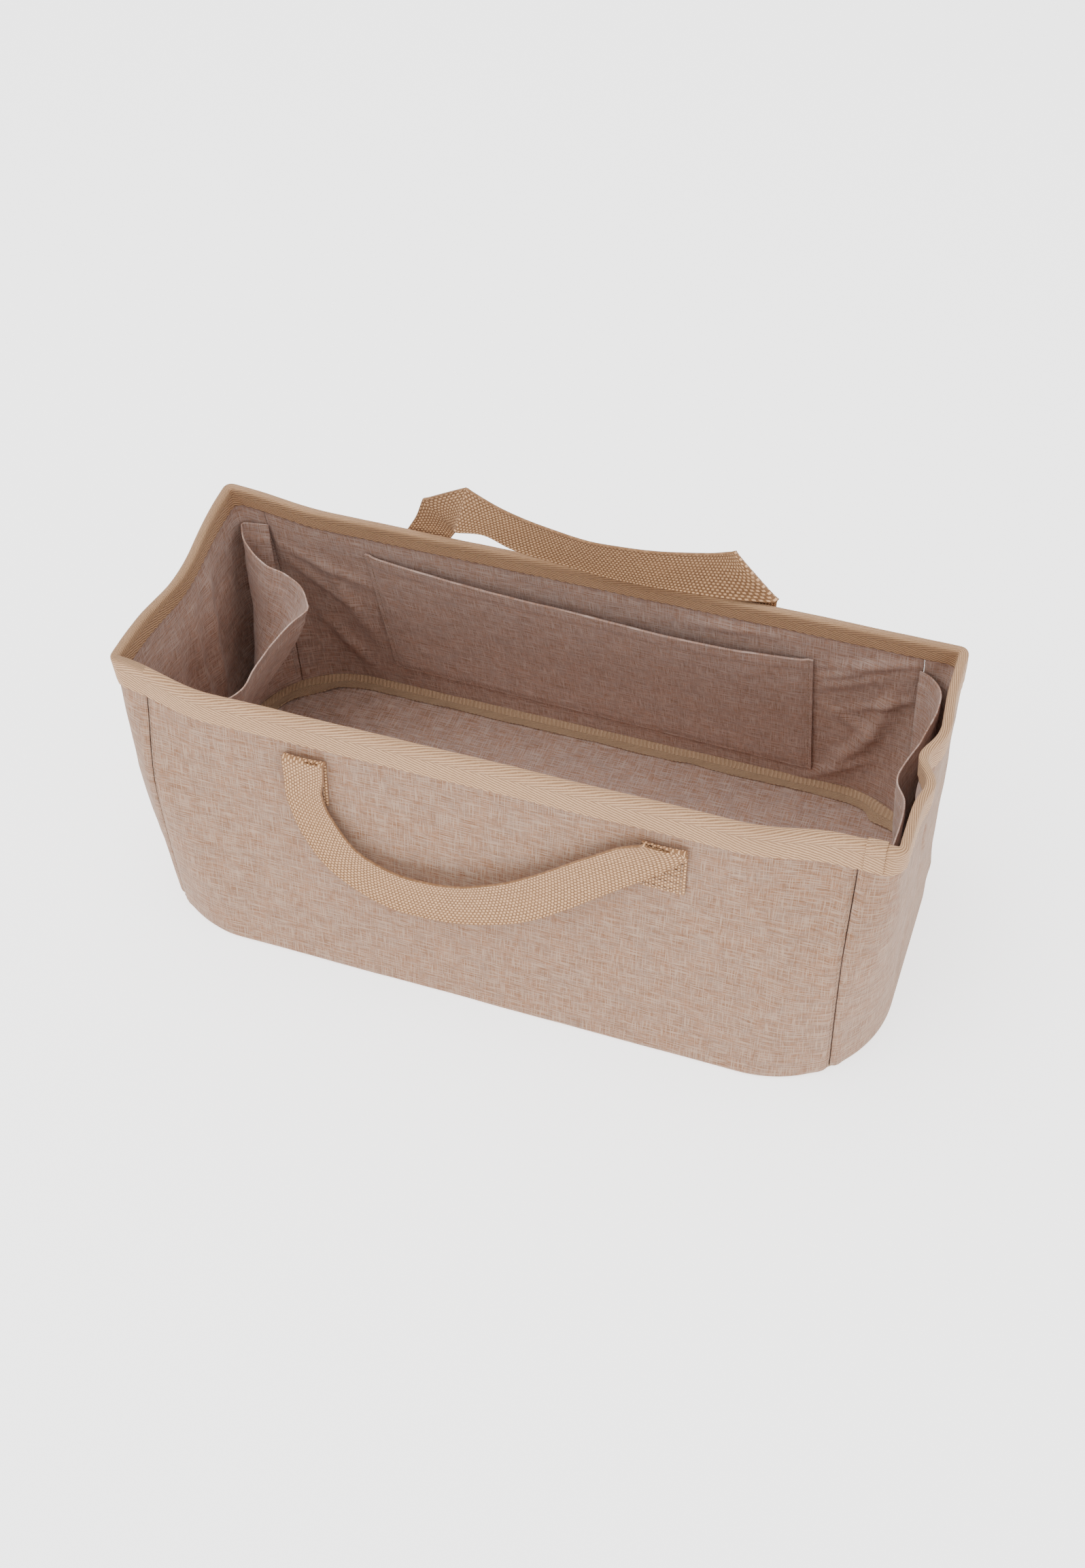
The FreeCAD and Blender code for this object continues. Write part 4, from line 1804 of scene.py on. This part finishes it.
@dataclass
class FrontHandle(Handle):
    """The handle that hangs in a wide, uneven U."""

    bow: float = 6.0
    fold_radius: float = 1.4

    def fold_edges(self, end: End) -> List[Tuple[float, ...]]:
        """The strap's turn over the top of a sewn end.

        Args:
            end: Which end.

        Returns:
            The two edges at each station, from the cloth outwards at the left and back again at the right.
        """
        near_x = end.value * (self.patch_x + self.width / 2)
        far_x = end.value * (self.patch_x - self.width / 2)
        turns = (0, 60, 120) if end is End.LEFT else (120, 60, 0)
        edges = []
        for turn in turns:
            rise = 1.3 * math.sin(math.radians(turn)) + 0.4
            lift = self.patch_gap + self.webbing + self.fold_radius * (1.0 - math.cos(math.radians(turn)))
            near_rise, far_rise = (rise, rise + 0.4) if end is End.LEFT else (rise + 0.4, rise)
            near = self.wall_frame(near_x, self.patch_top + near_rise, lift)
            edges.append((*near, *self.wall_frame(far_x, self.patch_top + far_rise, lift)))
        return edges

    def make(self) -> None:
        """Makes the handle."""
        outer = [
            (-137.0, 180.5, 0.0), (-136.0, 168.0, 0.1), (-134.0, 152.0, 0.4), (-124.0, 128.0, 0.8),
            (-104.0, 103.5, 1.1), (-67.0, 86.5, 1.4), (-23.0, 86.5, 1.6),
            (16.0, 96.0, 1.5), (47.0, 111.0, 1.3),
            (90.0, 143.0, 0.8), (118.0, 164.0, 0.4), (137.0, 180.0, 0.0),
        ]
        inner = [
            (-107.0, 182.5, 0.0), (-107.5, 172.0, 0.0), (-109.0, 159.0, 0.0), (-102.0, 142.0, 0.2),
            (-84.0, 122.0, 0.5), (-56.0, 113.0, 0.8), (-20.0, 115.5, 1.0),
            (6.0, 124.0, 0.9), (32.0, 137.0, 0.7),
            (68.0, 162.0, 0.4), (93.0, 179.0, 0.2), (107.5, 184.5, 0.0),
        ]
        edges = self.fold_edges(End.LEFT)
        lift = self.gap + self.webbing + 0.3
        for (x, z, bow), (x2, z2, bow2) in zip(outer, inner):
            near = self.wall_frame(x, z, lift + bow * self.bow)
            edges.append((*near, *self.wall_frame(x2, z2, lift + bow2 * self.bow)))
        self.build(edges + self.fold_edges(End.RIGHT))


@dataclass
class BackHandle(Handle):
    """The handle that stands up behind the back wall, folds over and lies along the rim."""

    def make(self) -> None:
        """Makes the handle."""
        beside = self.gap - 0.2

        def behind(x: float, x2: float, z: float, z2: float, lift: float) -> Tuple[float, ...]:
            return *self.wall_frame(x, z, lift), *self.wall_frame(x2, z2, lift)

        edges = [
            behind(-137.0, -107.0, 181.0, 181.0, 0.6),
            behind(-137.0, -107.0, 183.5, 183.5, 1.6),
            behind(-136.0, -106.0, 190.0, 189.0, beside),
            behind(-131.0, -101.0, 203.0, 199.0, beside),
            (-121.0, 100.0, 221.0, -93.0, 99.0, 212.0),
            (-115.5, 99.8, 235.5, -90.0, 97.6, 216.5),
            (-113.5, 99.6, 239.5, -89.3, 96.8, 217.6),
            (-108.0, 99.2, 242.5, -88.8, 95.8, 218.6),
            (-83.0, 97.2, 258.0, -88.0, 91.6, 222.0),
            (-78.0, 96.2, 260.5, -87.0, 90.2, 223.2),
            (-73.0, 94.6, 259.5, -84.0, 88.8, 224.6),
            (-51.0, 91.0, 252.5, -65.0, 88.0, 228.0),
            (-29.0, 89.0, 248.5, -43.0, 87.5, 221.0),
            (5.0, 87.0, 244.5, 0.0, 87.5, 216.0),
            (27.0, 86.5, 245.0, 26.0, 86.0, 215.5),
            (62.0, 89.0, 246.5, 55.0, 86.0, 215.5),
            (90.0, 92.5, 250.0, 84.0, 88.0, 215.5),
            (103.0, 95.0, 252.0, 110.0, 91.0, 214.8),
            (105.5, 96.3, 251.6, 134.0, 95.6, 214.6),
            (106.5, 97.8, 250.6, 137.5, 97.8, 214.0),
            (107.0, 99.4, 247.0, 137.5, 99.6, 212.0),
            (107.0, 100.6, 232.0, 137.0, 100.3, 208.0),
            behind(107.0, 137.0, 205.0, 196.0, beside),
            behind(107.0, 137.0, 190.0, 188.0, beside),
            behind(107.0, 137.0, 183.5, 183.5, 1.6),
            behind(107.0, 137.0, 181.0, 181.0, 0.6),
        ]
        self.build([(*e[3:], *e[:3]) for e in edges])


@dataclass
class SeamThread:
    """Rows of thread beside the four upright seams."""

    form: BinForm
    finishes: Finishes
    inset: float = 1.7
    lift: float = 0.15
    below_rim: float = 22.0

    def make(self) -> None:
        """Makes the rows."""
        for side in Side:
            for end in End:
                name = f"{side.name.lower()}_{end.name.lower()}_seam"
                rows = StitchRows(name + "_thread", thread=0.5)
                x = end.value * (self.form.seam_x - self.inset)
                heights = samples(self.form.floor_top, self.form.height - self.below_rim, 8.0)
                rows.add([self.form.wall_point(side, x, z, -self.lift) for z in heights])
                obj = rows.build(self.finishes.thread)
                dress(obj, self.finishes.thread, "sewing_thread", "bin", name + "_stitching")


@dataclass
class Boards:
    """The stiff boards inside the long walls and under the floor."""

    form: BinForm
    finishes: Finishes
    thickness: float = 1.5
    inset: float = 1.25
    foot: float = 9.0
    below_rim: float = 8.0
    to_seam: float = 2.0

    def make(self) -> None:
        """Makes the wall boards and finishes the base board, which keeps its place from the frame."""
        reach = self.form.seam_x - self.to_seam
        heights = samples(self.foot, self.form.height - self.below_rim, 8.0)
        marks = samples(-reach, reach, 6.0)
        for side in Side:
            turn = -side.value
            rows = [[self.form.wall_point(side, turn * x, z, self.inset) for x in marks] for z in heights]
            flat = [[(x, z) for x in marks] for z in heights]
            name = side.name.lower() + "_stiffener"
            sheet = ClothSheet(name, np.array(rows), np.array(flat), self.thickness)
            node = side.name.lower() + "_board"
            dress(sheet.build(), self.finishes.board, "stiffener_board", "bin", node)
        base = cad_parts["base_board"]
        base.data.materials.clear()
        base.data.materials.append(self.finishes.board)
        log.info("base_board: finished")


@dataclass
class Studio:
    """The pale floor, the soft lights and the camera."""

    floor_size: float = 14.0
    floor_level: float = -0.0006
    surround: float = 0.98
    floor_color: Color = (0.87, 0.87, 0.87, 1.0)
    glow: float = 1.9
    azimuth: float = 22.45
    elevation: float = 49.31
    roll: float = -3.82
    distance: float = 1.491
    shift_right: float = -0.0025
    shift_up: float = 0.0576
    lens: float = 67.67

    def floor(self) -> None:
        """Makes the floor."""
        half = self.floor_size / 2
        corners = [(x * half, y * half, self.floor_level) for x, y in ((-1, -1), (1, -1), (1, 1), (-1, 1))]
        obj = mesh_object("studio_floor", corners, [(0, 1, 2, 3)])
        shader = Shader("studio_paper")
        x, y, _ = shader.space()
        grain = shader.noise(x / 300.0, y / 300.0, 1.0)
        color = shader.mix(grain, tint(self.floor_color, 0.995), self.floor_color)
        shader.surface.inputs["Emission Color"].default_value = (1.0, 1.0, 1.0, 1.0)
        shader.surface.inputs["Emission Strength"].default_value = self.glow
        obj.data.materials.append(shader.finish(color, None, 0.0, 1.0, 0.0))
        obj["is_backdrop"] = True

    def light(
        self, name: str, place: Point, size: float, watts: float, color: Tuple[float, float, float]
    ) -> None:
        """Adds one soft light that looks at the bin.

        Args:
            name: The light's name.
            place: Where it hangs, in metres.
            size: The side of its square.
            watts: Its power.
            color: Its colour.
        """
        data = bpy.data.lights.new(name, "AREA")
        data.shape = "SQUARE"
        data.size = size
        data.energy = watts
        data.color = color
        lamp = bpy.data.objects.new(name, data)
        bpy.context.scene.collection.objects.link(lamp)
        lamp.location = place
        lamp.rotation_euler = (Vector((0.0, 0.0, 0.1)) - Vector(place)).to_track_quat("-Z", "Y").to_euler()

    def world(self) -> None:
        """Sets the even light from all round."""
        world = bpy.data.worlds.new("studio_world")
        world.use_nodes = True
        background = world.node_tree.nodes["Background"]
        background.inputs["Color"].default_value = (1.0, 1.0, 1.0, 1.0)
        background.inputs["Strength"].default_value = self.surround
        bpy.context.scene.world = world

    def camera(self) -> None:
        """Sets the camera."""
        az, el, roll = (math.radians(a) for a in (self.azimuth, self.elevation, self.roll))
        back = Vector((math.sin(az) * math.cos(el), -math.cos(az) * math.cos(el), math.sin(el)))
        right = Vector((math.cos(az), math.sin(az), 0.0))
        up = back.cross(right)
        right, up = right * math.cos(roll) + up * math.sin(roll), up * math.cos(roll) - right * math.sin(roll)
        data = bpy.data.cameras.new("studio_camera")
        data.lens = self.lens
        data.sensor_width = 36.0
        data.sensor_fit = "HORIZONTAL"
        data.clip_end = 50.0
        cam = bpy.data.objects.new("studio_camera", data)
        bpy.context.scene.collection.objects.link(cam)
        place = right * self.shift_right + up * self.shift_up + back * self.distance
        cam.matrix_world = Matrix.Translation(place) @ Matrix((right, up, back)).transposed().to_4x4()
        bpy.context.scene.camera = cam

    def make(self) -> None:
        """Makes the studio."""
        self.floor()
        self.world()
        self.light("key_light", (-0.9, -1.3, 2.6), 2.0, 46.0, (1.0, 0.99, 0.975))
        self.light("fill_light", (2.2, -1.6, 1.7), 1.6, 12.0, (0.98, 0.99, 1.0))
        self.light("top_light", (-0.3, 0.4, 3.0), 1.8, 48.0, (1.0, 1.0, 1.0))
        self.camera()


def main() -> None:
    """Builds the bin and its studio."""
    logging.basicConfig(level=logging.INFO, format="%(name)s %(message)s")
    form = BinForm.from_cad()
    finishes = Finishes()
    log.info("form: %.0f x %.0f x %.0f mm", form.base_length, form.base_depth, form.height)
    Boards(form, finishes).make()

    shell = Shell(form, finishes)
    shell.outer_wall(
        Side.FRONT,
        [
            Crease(-190.0, 30.0, 80.0, 30.0, 7.0, 0.8),
            Crease(205.0, 120.0, 95.0, 60.0, 9.0, 0.9),
            Crease(168.0, 96.0, 30.0, 34.0, 7.0, -1.5),
            Crease(196.0, 64.0, 62.0, 26.0, 6.0, 1.3),
            Crease(150.0, 150.0, 16.0, 30.0, 7.0, -1.1),
        ],
    )
    shell.outer_wall(Side.BACK, [Crease(150.0, 60.0, 70.0, 40.0, 9.0, 0.8)])
    gusset = [
        Crease(0.0, 150.0, 90.0, 60.0, 4.0, -2.5),
        Crease(-40.0, 50.0, 55.0, 50.0, 6.0, 1.6),
        Crease(42.0, 52.0, 125.0, 50.0, 6.0, 1.4),
        Crease(-62.0, 130.0, 92.0, 55.0, 7.0, 1.2),
    ]
    for end in End:
        shell.outer_end(end, gusset)
    shell.wall_lining(Side.FRONT, [Crease(120.0, 90.0, 70.0, 40.0, 9.0, 1.2)])
    shell.wall_lining(
        Side.BACK,
        [
            Crease(-196.0, 70.0, 118.0, 34.0, 5.0, 3.4),
            Crease(-186.0, 40.0, 140.0, 30.0, 5.0, 3.0),
            Crease(-212.0, 110.0, 105.0, 40.0, 5.0, 3.0),
            Crease(-190.0, 150.0, 150.0, 26.0, 5.0, 2.6),
            Crease(-120.0, 186.0, 172.0, 40.0, 4.5, 2.0),
            Crease(-206.0, 176.0, 158.0, 30.0, 4.0, 3.2),
            Crease(-188.0, 160.0, 150.0, 24.0, 3.5, 2.6),
            Crease(-214.0, 132.0, 148.0, 26.0, 4.0, 2.6),
            Crease(-196.0, 100.0, 35.0, 30.0, 4.5, 2.4),
            Crease(196.0, 150.0, 20.0, 38.0, 5.0, 2.4),
            Crease(206.0, 128.0, 40.0, 30.0, 4.5, 2.4),
            Crease(186.0, 110.0, 70.0, 45.0, 6.0, 3.0),
            Crease(198.0, 60.0, 62.0, 30.0, 5.0, 3.2),
            Crease(214.0, 84.0, 118.0, 34.0, 5.0, 2.4),
        ],
    )
    shell.end_lining(
        End.LEFT,
        [
            Crease(-30.0, 120.0, 92.0, 70.0, 7.0, 5.0),
            Crease(-8.0, 110.0, 86.0, 60.0, 5.0, 3.5),
            Crease(22.0, 120.0, 95.0, 70.0, 8.0, 3.0),
        ],
    )
    shell.end_lining(End.RIGHT, [Crease(10.0, 100.0, 90.0, 50.0, 7.0, 0.8)])
    shell.base()

    Binding(form, finishes).build()

    pockets = Pockets(form, finishes)
    pockets.back()
    pockets.end(
        End.LEFT,
        [
            (29.0, 0.987), (13.0, 0.945), (11.0, 0.935), (10.5, 0.915),
            (22.0, 0.735), (44.0, 0.600), (62.0, 0.560),
            (78.0, 0.480), (88.5, 0.335), (90.5, 0.295), (90.0, 0.255), (84.0, 0.080), (80.5, -0.120),
            (79.0, -0.380), (78.0, -0.620), (60.0, -0.870), (29.0, -0.987),
        ],
        [
            Crease(35.0, 80.0, 75.0, 60.0, 8.0, 3.0),
            Crease(0.0, 60.0, 100.0, 50.0, 9.0, 3.5),
            Crease(-40.0, 70.0, 88.0, 60.0, 9.0, 2.5),
        ],
    )
    pockets.end(
        End.RIGHT,
        [
            (29.0, 0.987), (19.0, 0.935), (11.5, 0.820), (10.5, 0.609), (15.0, 0.315), (20.0, 0.105),
            (21.0, -0.063), (13.0, -0.231), (11.5, -0.441), (11.5, -0.672), (15.0, -0.882), (29.0, -0.987),
        ],
        [Crease(0.0, 90.0, 90.0, 60.0, 9.0, 2.0)],
    )
    SeamThread(form, finishes).make()
    FrontHandle(form, finishes, Side.FRONT).make()
    BackHandle(form, finishes, Side.BACK).make()
    Studio().make()

    boxes = {"cad": CAD_BOUNDS, "visual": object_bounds()}
    sizes = {name: [[float(v) for v in corner] for corner in box] for name, box in boxes.items()}


if __name__ == "__main__":
    main()
